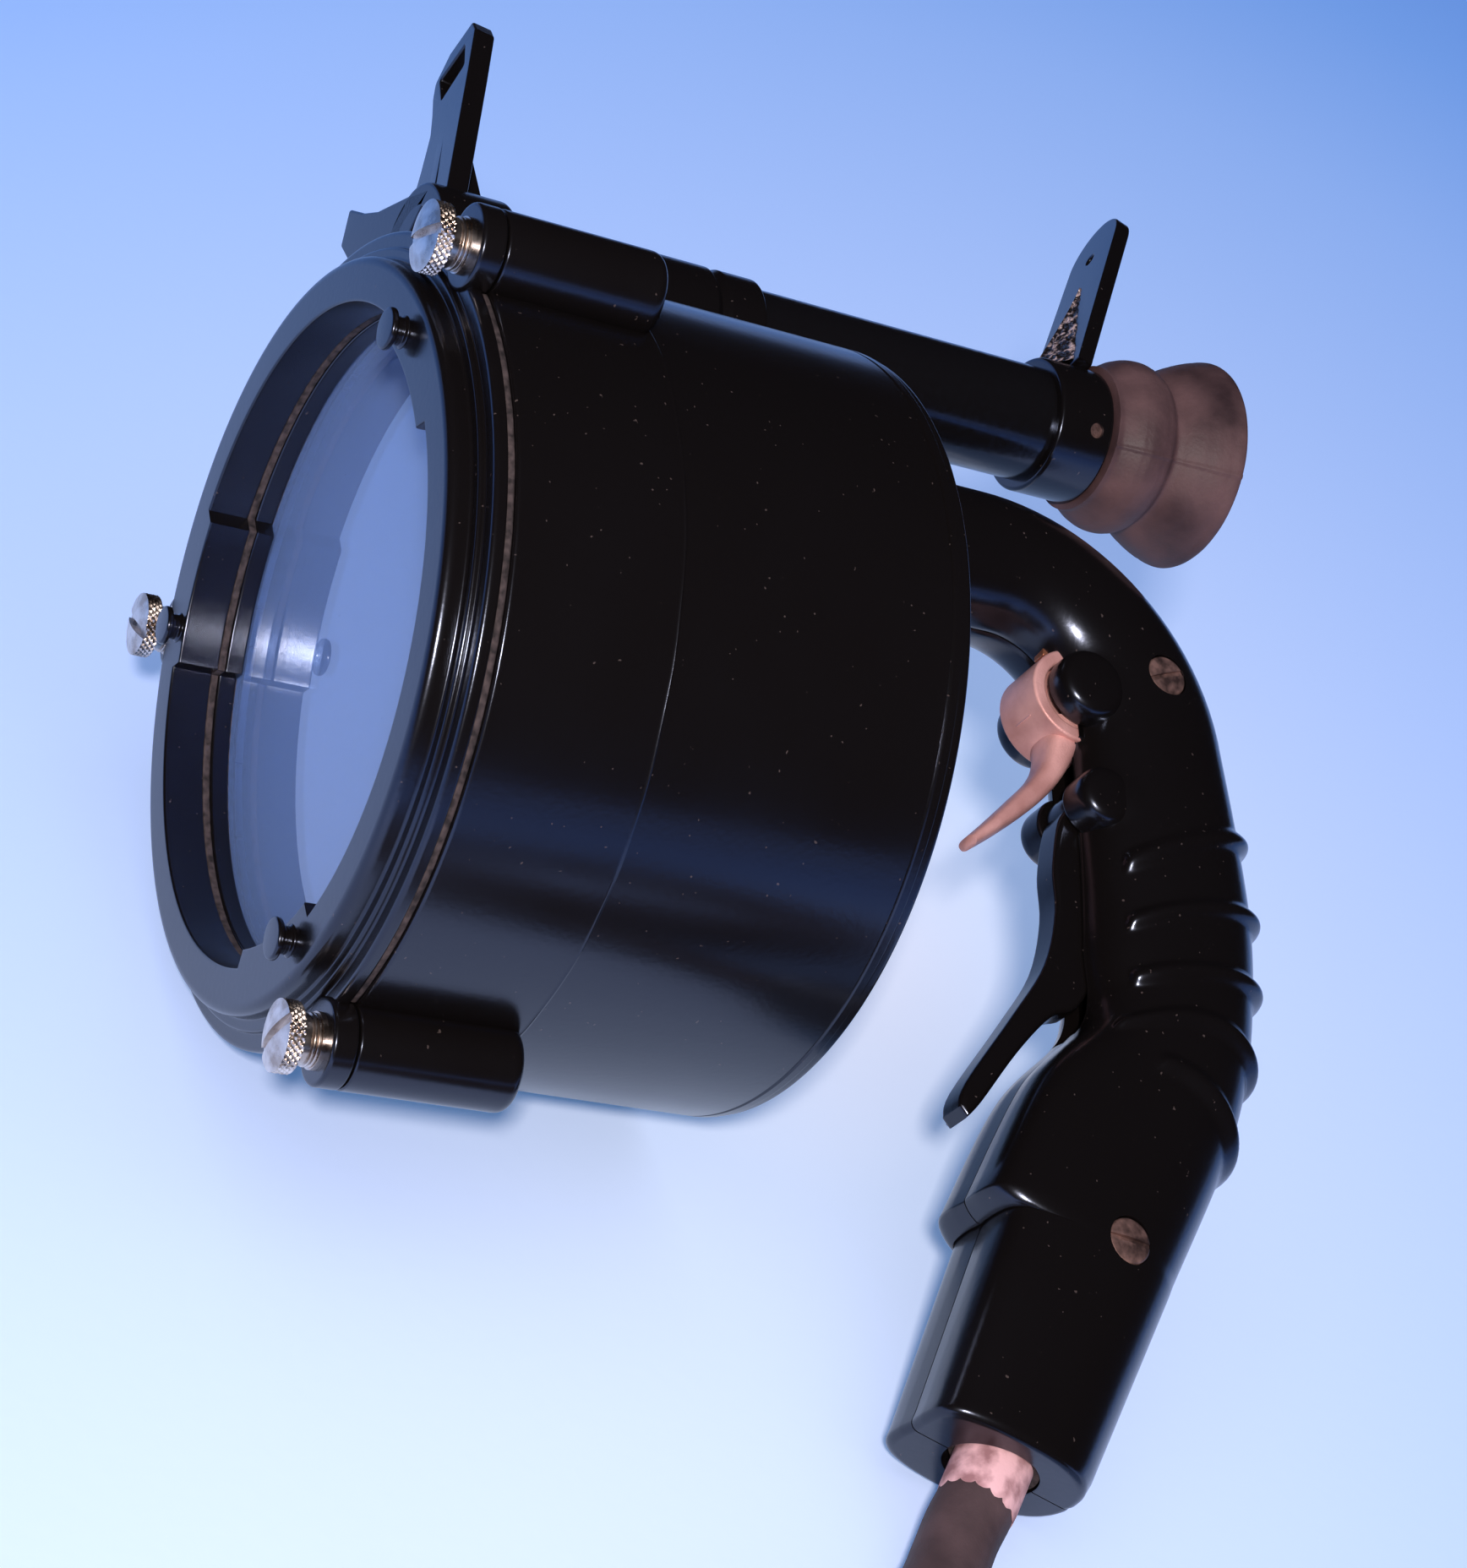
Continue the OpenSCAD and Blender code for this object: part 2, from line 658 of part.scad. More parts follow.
// Small shade in front of the bulb, on two wires from the lamp holder
module front_shade() {
    shade_y = focus_y - 6 - bulb_r - 3;
    color([0.7, 0.7, 0.7]) lay() {
        turned([[0, shade_y - 3], [shade_r * 0.6, shade_y - 2.2], [shade_r, shade_y],
            [shade_r - 0.8, shade_y + 0.8], [shade_r * 0.55, shade_y - 1.2], [0, shade_y - 1.8]]);
        for (s = [-1, 1])
            bar_y(s * (bulb_r + 1.4), 0, 0.8, shade_y, focus_y + 9);
        turned([[holder_r, focus_y + 8.5], [bulb_r + 2, focus_y + 8.5], [bulb_r + 2, focus_y + 11],
            [holder_r, focus_y + 11]]);
    }
}

// Rod from the trigger to the reflector, with an oversize hole at each end
module link_rod() {
    color([0.6, 0.6, 0.6]) lay() difference() {
        union() {
            translate([rod_x, crank_y, rod_z - 2])
                cube([rod_t, trig_p[0] - crank_y, 4]);
            for (y = [crank_y, trig_p[0]])
                bar_x(y, rod_z, crank_r, rod_x, rod_x + rod_t);
        }
        for (y = [crank_y, trig_p[0]])
            bar_x(y, rod_z, crank_hole_r, rod_x - 1, rod_x + rod_t + 1);
    }
}

// Pin of the reflector crank, and its head beyond the rod
module crank_pin() {
    color([0.7, 0.65, 0.5]) lay() {
        bar_x(crank_y, rod_z, crank_pin_r, -crank_half_w, rod_x + rod_t + seat_gap);
        bar_x(crank_y, rod_z, 2.6, rod_x + rod_t + seat_gap, rod_x + rod_t + seat_gap + 1);
    }
}

stop_y = back_y + 51;
spring_z = rod_z - 7.9;
spring_r = 2.8;
crank_front_y = trig_p[0] - crank_r;

module return_spring() {
    color([0.6, 0.6, 0.62]) lay() difference() {
        bar_y(0, spring_z, spring_r, stop_y, crank_front_y);
        bar_y(0, spring_z, spring_r - 0.9, stop_y - 1, crank_front_y + 1);
    }
}

// TELESCOPE

module telescope_tube() {
    color([0.06, 0.06, 0.06]) lay() difference() {
        bar_y(0, tel_z, tel_r, tel_y0, tel_y1);
        bar_y(0, tel_z, tel_r - tel_wall, tel_y0 - 1, tel_y1 + 1);
    }
}

module lens(y, t, bulge) {
    r = tel_r - tel_wall;
    translate([0, 0, tel_z])
        turned([[0, y - bulge], [r * 0.5, y - bulge * 0.75], [r, y], [r, y + t],
            [r * 0.5, y + t + bulge * 0.75], [0, y + t + bulge]]);
}

module objective_lens() {
    color([0.6, 0.7, 0.9, 0.5]) lay()
        lens(tel_y0 + 5, 2, 1);
}

module eye_lens() {
    color([0.6, 0.7, 0.9, 0.5]) lay()
        lens(tel_y1 - 6, 2, 1.2);
}

module front_collar() {
    y0 = front_collar_y0;
    y1 = front_collar_y1;
    inner = tel_r;
    color([0.05, 0.05, 0.05]) lay() difference() {
        translate([0, 0, tel_z])
            turned([[inner, y0], [front_collar_r, y0], [front_collar_r, groove_y - 1.5],
                [front_collar_r - 1.2, groove_y], [front_collar_r, groove_y + 1.5], [front_collar_r, y1],
                [inner, y1]]);
        translate([0, collar_screw_y, tel_z])
            cylinder(h = 20, r = collar_screw_r, $fn = 32);
    }
}

// Grub screws of the two collars
module collar_screws() {
    color([0.3, 0.3, 0.3]) lay() {
        translate([0, collar_screw_y, tel_z + tel_r])
            cylinder(h = 1, r = collar_screw_r, $fn = 32);
        translate([0, tel_y1 - 4, tel_z])
            rotate([0, 120, 0])
                translate([0, 0, tel_r])
                    cylinder(h = rear_collar_wall - 0.8, r = 1.6, $fn = 32);
    }
}

module rear_collar() {
    color([0.05, 0.05, 0.05]) lay() difference() {
        bar_y(0, tel_z, rear_collar_r, collar_y0, tel_y1);
        bar_y(0, tel_z, tel_r, collar_y0 - 1, tel_y1 + 1);
        translate([0, tel_y1 - 4, tel_z])
            rotate([0, 120, 0])
                cylinder(h = 20, r = 1.6, $fn = 32);
    }
}

// Rubber eyecup: neck ring, round bulge, groove and flared cup
module eyecup() {
    w = 2;
    len = eyecup_len;
    e = eyecup_r;
    outer = [[e * 0.69, 0], [e * 0.7, 0.13], [e * 0.79, 0.2], [e * 0.82, 0.33], [e * 0.79, 0.45],
        [e * 0.725, 0.5], [e * 0.81, 0.62], [e * 0.93, 0.8], [e, 0.95], [e - 0.5, 1]];
    inner = [[e - w, 1], [e * 0.845, 0.8], [e * 0.715, 0.6], [e * 0.625, 0.48], [e * 0.706, 0.33],
        [e * 0.58, 0.12]];
    color([0.2, 0.18, 0.17]) lay()
        translate([0, 0, tel_z])
            turned(concat([[9, eye_y0]], [for (p = outer) [p[0], eye_y0 + p[1] * len]],
                [for (p = inner) [p[0], eye_y0 + p[1] * len]], [[9, eye_y0 + 2.5]]));
}

// Plate of the front sight, in its own plane from the middle of the window
module front_sight() {
    w = front_half_w;
    t = front_tip;
    foot_y = tel_y0 - 2;
    window_y = foot_y + 4 + (sight_z - tel_z - 11) * tan(front_lean);
    color([0.05, 0.05, 0.05]) lay() difference() {
        union() {
            translate([0, window_y, sight_z])
                rotate([90 - front_lean, 0, 0])
                    translate([0, 0, -sight_t])
                        linear_extrude(sight_t) difference() {
                            polygon([[-w * 0.35, t], [w * 0.75, t], [w, t - 4], [w, -8], [w * 0.95, -24],
                                [w * 0.9, -40], [-w * 1.4, -40], [-w * 1.3, -30], [-w * 0.95, -20],
                                [-w * 0.75, -12], [-w * 0.85, -6], [-w, 0], [-w, t - 3.5]]);
                            polygon([[-w * 0.72, 3.5], [w * 0.5, 3.5], [w * 0.66, -3.2], [-w * 0.4, -4.4]]);
                        }
            slab(-2, 2) polygon([[window_y - 2.2, sight_z - 13], [window_y + 1.2, sight_z - 13],
                [foot_y + 16, tel_z + tel_r + 0.6], [foot_y + 4, tel_z + tel_r + 0.6]]);
            bar_y(0, tel_z, tel_r + 3, foot_y, foot_y + 16);
            translate([0, foot_y + 4, 0])
                rotate([90, 0, 0])
                    linear_extrude(4)
                        polygon([[10, tel_z + 10], [1, tel_z + 14.6], [-7.8, tel_z + 18.6],
                            [-14, tel_z + 21.4], [-20.6, tel_z + 25.7], [-27.2, tel_z + 31.3],
                            [-32, tel_z + 25.3], [-28.5, tel_z + 19.2], [-20, tel_z + 9], [-12, tel_z + 2]]);
        }
        bar_y(0, tel_z, tel_r - tel_wall, foot_y - 1, tel_y0 + 1);
        bar_y(0, tel_z, tel_r, tel_y0, foot_y + 17);
    }
}

// Leaf of the rear sight with its ribbed brace, leaning back from the rear collar
module rear_sight() {
    base_z = tel_z + rear_collar_r;
    base_y = tel_y1 - 2.5;
    h = (sight_z - base_z) / cos(rear_lean);
    color([0.05, 0.05, 0.05]) lay() difference() {
        union() {
            translate([0, base_y, base_z])
                rotate([90 - rear_lean, 0, 0])
                    translate([0, 0, -sight_t / 2]) difference() {
                        linear_extrude(sight_t * 0.8) {
                            polygon([[-11, -3], [11, -3], [leaf_r, h + leaf_mid], [-leaf_r, h + leaf_mid]]);
                            translate([0, h + leaf_mid])
                                circle(r = leaf_r, $fn = 32);
                        }
                        translate([0, h, -1])
                            cylinder(h = sight_t + 2, d = peep_d, $fn = 32);
                    }
            slab(-1.5, 1.5)
                polygon([[base_y - 7, base_z - 1.5], [base_y + 2, base_z - 1.5],
                    [base_y + 9.5, base_z + 19]]);
        }
        bar_y(0, tel_z, rear_collar_r, collar_y0 - 5, tel_y1 + 5);
        bar_y(0, tel_z, rear_collar_r + 8, tel_y1 + 0.1, tel_y1 + 12);
    }
}

// GRIP

// Stations of the grip from the drum to the heel: [front, back, half width, rib]
rib_s = [1, 2, 3, 4, 5];
function rib_at(s) = max([for (r = rib_s) let (d = abs(s - r)) d < 0.09 ? 1 : d < 0.19 ? 0.55 : 0]);
low_s = concat([0, 0.4, 0.7], [for (r = rib_s, d = [-0.2, -0.12, 0, 0.12, 0.2, 0.5]) r + d], [5.8, 6]);
function low_station(s) = [at_curve(low_front, s), at_curve(low_back, s), at_curve(low_w, s), rib_at(s)];
function bend_station(a) = [inner_c + inner_r * [sin(a), cos(a)], bend_c + bend_r * [sin(a), cos(a)],
    neck_w + (low_w[0] - neck_w) * a / 90, 0];
grip_stations = concat(
    [[[back_y, inner_c[1] + inner_r], [back_y, bend_c[1] + bend_r], neck_w, 0]],
    [for (a = [0 : 11.25 : 80]) bend_station(a)],
    [for (s = low_s) low_station(s)],
    [[step_front, step_back, grip_half_w - 0.4, 0],
     [(step_front + heel_front) / 2, (step_back + heel_back) / 2, grip_half_w - 0.8, 0]]);
side_n = 12;
function super(c, s, n) = [sign(c) * pow(abs(c), 2 / n), sign(s) * pow(abs(s), 2 / n)];
// Ring of points round the grip at a station, starting beside the back seam
function ring_at(st, inset, n) =
    let (mid = (st[0] + st[1]) / 2, dir = (st[1] - st[0]) / norm(st[1] - st[0]),
         a = norm(st[1] - st[0]) / 2 - inset, w = st[2] - inset)
    [for (k = [0 : 2 * n - 1])
        let (t = 180 * (k + 0.5) / n, away = min(t, 360 - t), p = super(cos(t), sin(t), section_n),
             grow = inset > 0 ? 0 : st[3] * rib_h * max(0, min(1, (110 - away) / 30)),
             q = mid + dir * (a + grow) * p[0])
        [(w + grow * 0.8) * p[1], q[0], q[1]]];

// A solid through rings of points, each ring closed
module through(rings) {
    m = len(rings[0]);
    n = len(rings);
    polyhedron(points = [for (r = rings) each r],
        faces = concat([for (i = [0 : n - 2], k = [0 : m - 1])
                each [[i * m + k, (i + 1) * m + (k + 1) % m, i * m + (k + 1) % m],
                    [i * m + k, (i + 1) * m + k, (i + 1) * m + (k + 1) % m]]],
            [[for (k = [0 : m - 1]) k]],
            [[for (k = [m - 1 : -1 : 0]) (n - 1) * m + k]]));
}

// Outside of the grip as a solid, and the hollow inside it
module grip_solid() {
    through(concat([for (st = grip_stations) ring_at(st, 0, side_n)],
        [ring_at([rim_front, rim_back, heel_w, 0], 0, side_n),
         ring_at([heel_front, heel_back, heel_w, 0], heel_edge_r, side_n)]));
}

hollow_n = 8;
hollow_stations = concat(
    [[[back_y - 1, inner_c[1] + inner_r], [back_y - 1, bend_c[1] + bend_r], neck_w, 0]],
    [for (a = [0 : 15 : 80]) bend_station(a)],
    [for (s = [0 : 0.5 : 6]) low_station(s)],
    [[step_front, step_back, grip_half_w - 0.4, 0],
     [(step_front + heel_front) / 2, (step_back + heel_back) / 2, grip_half_w - 0.8, 0]]);

module grip_hollow() {
    through([for (st = hollow_stations) ring_at(st, grip_wall, hollow_n)]);
}

// Solids added inside a half: screw bosses, cheeks and seats for the switch parts
module grip_bosses() {
    for (p = grip_screw_at)
        bar_x(p[0], p[1], 5.5, 0, 13);
    bar_x(trig_p[0], trig_p[1], 7, hood_w / 2 + seat_gap, cheek_x);
    bar_x(lever_p[0], lever_p[1], 3.4, lever_w / 2 + seat_gap + 0.2, 13);
    translate([switch_w / 2, switch_y + 4, plunger_z - 8])
        cube([13.2 - switch_w / 2, 8, 16]);
    translate([0, lever_spring_y1, lever_spring_z - 4.5])
        cube([13.2, switch_y - lever_spring_y1, 9]);
    translate([0, stop_y - 3, spring_z - 6])
        cube([12, 3, 9.5]);
    for (p = neck_screw_at)
        if (p[0] > 0)
            bar_y(p[0], p[1], 3.6, back_y, back_y + 14);
}

// What is cut out of a half: bores, the hood recess and the slots of blade and lever
module grip_cuts() {
    for (p = grip_screw_at)
        bar_x(p[0], p[1], grip_shank_r, -1, 16);
    bar_x(trig_p[0], trig_p[1], pin_d / 2, -1, cheek_x - 1.4);
    bar_x(lever_p[0], lever_p[1], pin_d / 2, -1, cheek_x - 1.4);
    bar_x(trig_p[0], trig_p[1], hood_r + seat_gap, -1, hood_w / 2 + seat_gap);
    slab(-1, crank_half_w + 0.7)
        polygon([[crank_front_y - 1.2, trig_p[1] + 5], [trig_p[0] + crank_r + 0.4, trig_p[1] + 5],
                 [trig_p[0] + crank_r + 0.4, rod_z], [crank_front_y - 5.2, rod_z]]);
    slab(-1, rod_x + rod_t + 1.8)
        polygon([[crank_front_y - 5.6, rod_z - crank_r - 0.9],
                 [trig_p[0] + crank_r + 0.5, rod_z - crank_r - 0.9],
                 [trig_p[0] + crank_r + 0.5, rod_z + 2.4], [trig_p[0] + 1, rod_z + crank_r + 0.3],
                 [crank_front_y - 5.6, rod_z + crank_r + 0.3]]);
    slab(-1, lever_w / 2 + seat_gap)
        polygon([for (p = [[53, -37], [78, -37], [78, -63], [76, -79], [74, -99], [69, -105.5],
            [53, -105.5]])
            grip_at + p]);
    for (p = neck_screw_at)
        bar_y(p[0], p[1], 1.6, back_y - 1, back_y + 12);
    translate([0, heel_c[1], heel_c[2]])
        rotate([180 - 30.46, 0, 0])
            translate([0, 0, -32])
                cylinder(h = 40, r = gland_r);
}

neck_screw_x = 8;
neck_screw_up = 8;
neck_screw_at = [for (x = [-neck_screw_x, neck_screw_x], z = [-neck_screw_up, neck_screw_up])
    [x, grip_at[1] + 0.5 + z]];
grip_screw_at = [grip_at + [87.8, -25.5], grip_at + [59.4, -148.5]];
grip_shank_r = 2;
cheek_x = grip_half_w - 1.8;
switch_w = 15;
switch_y = lever_p[0] + 7.5;
lever_spring_y1 = lever_p[0] + 5.5;
lever_spring_z = lever_p[1] - 18;
lever_spring_r = 2.4;
gland_r = cable_d / 2 + 1.4;
clamp_in = 31;
clamp_mid = heel_c - clamp_in * cable_dir;
clamp_ear = cable_d / 2 + 4.2;
clamp_ear_r = 2.9;
clamp_boss_r = 2.3;
clamp_ears = [for (s = [-1, 1])
    [clamp_mid[1] - s * clamp_ear * cable_dir[2], clamp_mid[2] + s * clamp_ear * cable_dir[1]]];
clamp_screw_r = 1.3;

module grip_half() {
    difference() {
        union() {
            difference() {
                grip_solid();
                grip_hollow();
                translate([-60, 0, -200])
                    cube([60, 300, 400]);
            }
            grip_bosses();
        }
        grip_cuts();
    }
}

module grip_right() {
    color([0.05, 0.04, 0.04]) lay() difference() {
        union() {
            grip_half();
            for (p = clamp_ears)
                bar_x(p[0], p[1], clamp_boss_r, 2, 11);
        }
        for (p = grip_screw_at)
            bar_x(p[0], p[1], grip_screw_d / 2 + 0.05, 12.4, 20);
        for (p = clamp_ears)
            bar_x(p[0], p[1], clamp_screw_r, 1, 9.2);
    }
}

module grip_left() {
    color([0.05, 0.04, 0.04]) lay() difference() {
        mirror([1, 0, 0])
            grip_half();
        for (p = grip_screw_at)
            bar_x(p[0], p[1], grip_screw_d / 2 + 0.05, -20, -12.4);
    }
}

module grip_screws() {
    color([0.75, 0.68, 0.58]) lay()
        for (p = grip_screw_at)
            difference() {
                union() {
                    bar_x(p[0], p[1], grip_shank_r, -14.2, 12.4);
                    bar_x(p[0], p[1], grip_screw_d / 2, 12.4, 14.4);
                }
                translate([13.4, p[0] - 10, p[1] - 0.6])
                    cube([3, 20, 1.2]);
            }
}

module grip_nuts() {
    color([0.7, 0.62, 0.5]) lay()
        for (p = grip_screw_at)
            difference() {
                bar_x(p[0], p[1], grip_screw_d / 2, -14.4, -12.4);
                bar_x(p[0], p[1], grip_shank_r, -15, -12);
            }
}

module neck_screws() {
    color([0.6, 0.6, 0.58]) lay()
        for (p = neck_screw_at) {
            bar_y(p[0], p[1], 1.6, drum_y1 - 0.1, back_y + 11);
            bar_y(p[0], p[1], 3, drum_y1 - 2, drum_y1);
        }
}

// TRIGGER AND LEVER

// Outlines of blade and lever, from their pivots
blade_front = [for (p = [[-10.2, -2.4], [-7.6, -8.6], [-9.6, -15.5], [-15.1, -22.8], [-25.2, -32.1],
    [-27.6, -34.1]])
    trig_p + p];
blade_back = [for (p = [[-27.2, -35.5], [-24.5, -34.7], [-15.5, -28.4], [-8.4, -21.5], [-4.6, -15],
    [-1, -7.6]])
    trig_p + p];
lever_front = [for (p = [[-5.1, 1.5], [-7, -3.2], [-9.6, -13.4], [-10.4, -23.2], [-14.6, -35.2],
    [-23.3, -46.9], [-35.8, -62.4], [-38.1, -68.6]])
    lever_p + p];
lever_back = [for (p = [[-36.9, -70], [-32.1, -66.4], [-22.5, -55.2], [-14.3, -46.4], [-8.5, -43.6],
    [-3.9, -37]])
    lever_p + p];

module trigger() {
    color([0.72, 0.6, 0.56]) lay() difference() {
        union() {
            bar_x(trig_p[0], trig_p[1], hood_r, -hood_w / 2, hood_w / 2);
            slab(-blade_w / 2, blade_w / 2)
                polygon(concat(curve(blade_front, 4), curve(blade_back, 4), [trig_p - [1, 1.5]]));
            slab(-crank_half_w, crank_half_w)
                polygon([[crank_front_y, trig_p[1]], [trig_p[0] + crank_r, trig_p[1]],
                    [trig_p[0] + crank_r, rod_z], [crank_front_y, rod_z]]);
            bar_x(trig_p[0], rod_z, crank_r, -crank_half_w, crank_half_w);
            bar_x(trig_p[0], rod_z, crank_pin_r, 0, rod_x + rod_t + seat_gap);
            bar_x(trig_p[0], rod_z, 2.6, rod_x + rod_t + seat_gap, rod_x + rod_t + seat_gap + 1);
        }
        bar_x(trig_p[0], trig_p[1], pin_d / 2 + run_gap, -10, 10);
    }
}

module trigger_pin() {
    color([0.7, 0.7, 0.68]) lay()
        bar_x(trig_p[0], trig_p[1], pin_d / 2, 1.4 - cheek_x, cheek_x - 1.4);
}

module switch_lever() {
    color([0.05, 0.05, 0.05]) lay() difference() {
        union() {
            bar_x(lever_p[0], lever_p[1], 5.2, -lever_w / 2, lever_w / 2);
            slab(-lever_w / 2, lever_w / 2)
                polygon(concat(curve(lever_front, 3), curve(lever_back, 3),
                    [lever_p - [3.5, 33], lever_p - [1.9, 15], lever_p + [2.5, -3]]));
        }
        bar_x(lever_p[0], lever_p[1], pin_d / 2 + run_gap, -10, 10);
    }
}

module lever_pin() {
    color([0.7, 0.7, 0.68]) lay()
        bar_x(lever_p[0], lever_p[1], pin_d / 2, 1.4 - cheek_x, cheek_x - 1.4);
}

module lever_spring() {
    color([0.6, 0.6, 0.62]) lay() difference() {
        bar_y(0, lever_spring_z, lever_spring_r, lever_spring_y1 - 7.4, lever_spring_y1);
        bar_y(0, lever_spring_z, lever_spring_r - 0.9, lever_spring_y1 - 9, lever_spring_y1 + 1);
    }
}

plunger_y = lever_p[0] - 3.05;

// Plunger with a round nose that the lever presses
module contact_plunger() {
    r = plunger_d / 2;
    color([0.75, 0.6, 0.3]) lay() {
        bar_y(0, plunger_z, r, plunger_y + r, switch_y + 6);
        translate([0, plunger_y + r, plunger_z])
            sphere(r = r, $fn = 32);
    }
}

module switch_block() {
    color([0.25, 0.12, 0.08]) lay() difference() {
        translate([-switch_w / 2, switch_y, plunger_z - 10])
            cube([switch_w, 15, 20]);
        bar_y(0, plunger_z, plunger_d / 2 + run_gap, switch_y - 1, switch_y + 10);
    }
}

module switch_terminals() {
    color([0.75, 0.6, 0.3]) lay()
        for (s = [-1, 1]) {
            translate([s * 4 - 1.5, switch_y + 15, plunger_z - 4])
                cube([3, 1, 8]);
            bar_y(s * 4, plunger_z, 1.3, switch_y + 16, switch_y + 18);
        }
}

// CABLE

// A bar along the cable where it leaves the heel, from a to b measured out of the heel
module along_exit(r, a, b) {
    translate(heel_c)
        rotate([180 - 30.46, 0, 0])
            translate([0, 0, a])
                cylinder(h = b - a, r = r);
}

module cable_clamp() {
    color([0.6, 0.6, 0.58]) lay() difference() {
        union() {
            along_exit(cable_d / 2 + 2, -clamp_in - 3, -clamp_in + 3);
            for (p = clamp_ears)
                bar_x(p[0], p[1], clamp_ear_r, -1, 2);
        }
        along_exit(cable_d / 2, -clamp_in - 4, -clamp_in + 4);
        for (p = clamp_ears)
            bar_x(p[0], p[1], clamp_screw_r, -3, 3);
    }
}

module clamp_screws() {
    color([0.7, 0.65, 0.5]) lay()
        for (p = clamp_ears) {
            bar_x(p[0], p[1], clamp_screw_r, -1, 9);
            bar_x(p[0], p[1], 2.3, -2.4, -1);
        }
}

module cable_gland() {
    color([0.15, 0.14, 0.13]) lay() difference() {
        along_exit(gland_r, -20, -2);
        along_exit(cable_d / 2, -21, 0);
    }
}

// Route of the cable where it isn't coiled, as it lies
function laid(p) = [p[0] * sin(roll) - p[2] * cos(roll) + x_shift, p[1] + y_shift,
    p[0] * cos(roll) + p[2] * sin(roll) + drum_r];
cable_exit = laid(heel_c);
coil_c = [cable_exit[0] + coil_r + 58, cable_exit[1] - 13];
coil_turns = 3.34;
coil_a0 = -135;
layer_rise = cable_d + 0.8;
coil_start = coil_point(0);
coil_dir = [-sin(coil_a0), cos(coil_a0), 0];
cable_route = concat([for (t = [-clamp_in - 6, -12, 0, 7]) laid(heel_c + t * cable_dir)],
    [for (p = [[11, -8, 1.5], [17.8, -12.7, 0.3], [24.8, -18, 0], [33.8, -27.5, 0], [43.2, -40.5, 0],
        [53.2, -55, 0]]) [cable_exit[0] + p[0], cable_exit[1] + p[1], cable_d / 2 + p[2]]],
    [coil_start - 18 * coil_dir, coil_start - 14 * coil_dir]);

function coil_point(s) =
    let (a = coil_a0 + 360 * s, half = coil_turns / 2, u = max(0, min(1, (s - half + 0.25) / 0.5)),
         r = coil_r + coil_pitch * (abs(s - half) - half / 2))
    [coil_c[0] + r * cos(a), coil_c[1] + r * sin(a), cable_d / 2 + layer_rise * u * u * (3 - 2 * u)];
coil_steps = round(coil_turns * 24);
coil_end = coil_point(coil_turns);
end_a = coil_a0 + 360 * coil_turns;
end_dir = [-sin(end_a), cos(end_a), 0];
plug_r = 14;
tail = [for (p = [[12, 0], [24, 1.6], [36, 4.2], [48, 6.6], [60, 7.8], [74, 7.8]])
    coil_end + p[0] * end_dir - [0, 0, p[1]]];
coil_path = concat([coil_start - 14 * coil_dir],
    [for (k = [0 : coil_steps]) coil_point(k * coil_turns / coil_steps)], tail);
plug_at = tail[5];

// Least gap between turns of the coil that lie beside or on each other
coil_gap = min([for (i = [0 : len(coil_path) - 1], j = [i + 12 : 1 : len(coil_path) - 1])
    norm(coil_path[i] - coil_path[j]) - cable_d]);
echo(coil_gap = coil_gap);

// A tube swept along a path, with a corner of each ring up and down
module tube(path, r, sides) {
    m = len(path);
    dirs = [for (i = [0 : m - 1]) let (d = path[min(i + 1, m - 1)] - path[max(i - 1, 0)]) d / norm(d)];
    rings = [for (i = [0 : m - 1])
        let (t = dirs[i], side = cross([0, 0, 1], t) / norm(cross([0, 0, 1], t)), up = cross(t, side))
        for (k = [0 : sides - 1])
            let (a = 90 + 360 * k / sides) path[i] + r * (cos(a) * side + sin(a) * up)];
    polyhedron(points = rings,
        faces = concat([for (i = [0 : m - 2], k = [0 : sides - 1])
                let (a = i * sides + k, b = i * sides + (k + 1) % sides)
                each [[a, b + sides, b], [a, a + sides, b + sides]]],
            [[for (k = [0 : sides - 1]) k]],
            [[for (k = [sides - 1 : -1 : 0]) (m - 1) * sides + k]]));
}

module cable() {
    color([0.2, 0.17, 0.16])
        tube(concat([cable_route[0], cable_route[1]],
            [for (k = [2 : 0.5 : len(cable_route) - 2]) at_curve(cable_route, k)],
            [cable_route[len(cable_route) - 1]]), cable_d / 2, 8);
}

module cable_coil() {
    color([0.2, 0.17, 0.16])
        tube(coil_path, cable_d / 2, 6);
}

// Strap round all turns at one side of the coil
module coil_tie() {
    in_r = coil_r - coil_pitch * coil_turns / 4 - cable_d / 2 - 1;
    out_r = coil_r + coil_pitch * coil_turns / 4 + cable_d / 2 + 1;
    top = cable_d + layer_rise + 0.4;
    color([0.25, 0.23, 0.2])
        translate([coil_c[0], coil_c[1], 0])
            rotate([0, 0, 60])
                difference() {
                    translate([in_r - 1.5, -8, 0.1])
                        cube([out_r - in_r + 3, 16, top + 1.4]);
                    translate([in_r, -9, -1])
                        cube([out_r - in_r, 18, top + 1]);
                }
}

// A solid of revolution along the cable's end, from [radius, distance] points
module on_plug(points) {
    translate(plug_at)
        rotate([0, 0, end_a + 90])
            rotate([0, 90, 0])
                rotate_extrude($fn = 48)
                    polygon(points);
}

module plug_body() {
    color([0.08, 0.07, 0.07]) difference() {
        on_plug([[0, 8], [plug_r - 3, 8], [plug_r - 3, 14], [plug_r - 0.5, 15], [plug_r, 16], [plug_r, 40],
            [plug_r - 1, 41], [0, 41]]);
        on_plug([[0, 7], [cable_d / 2, 7], [cable_d / 2, 22], [0, 22]]);
    }
}

module plug_nut() {
    color([0.1, 0.1, 0.1])
        on_plug([[cable_d / 2 + 0.1, 0], [9.5, 0], [11.5, 1.5], [11.5, 8], [cable_d / 2 + 0.1, 8]]);
}

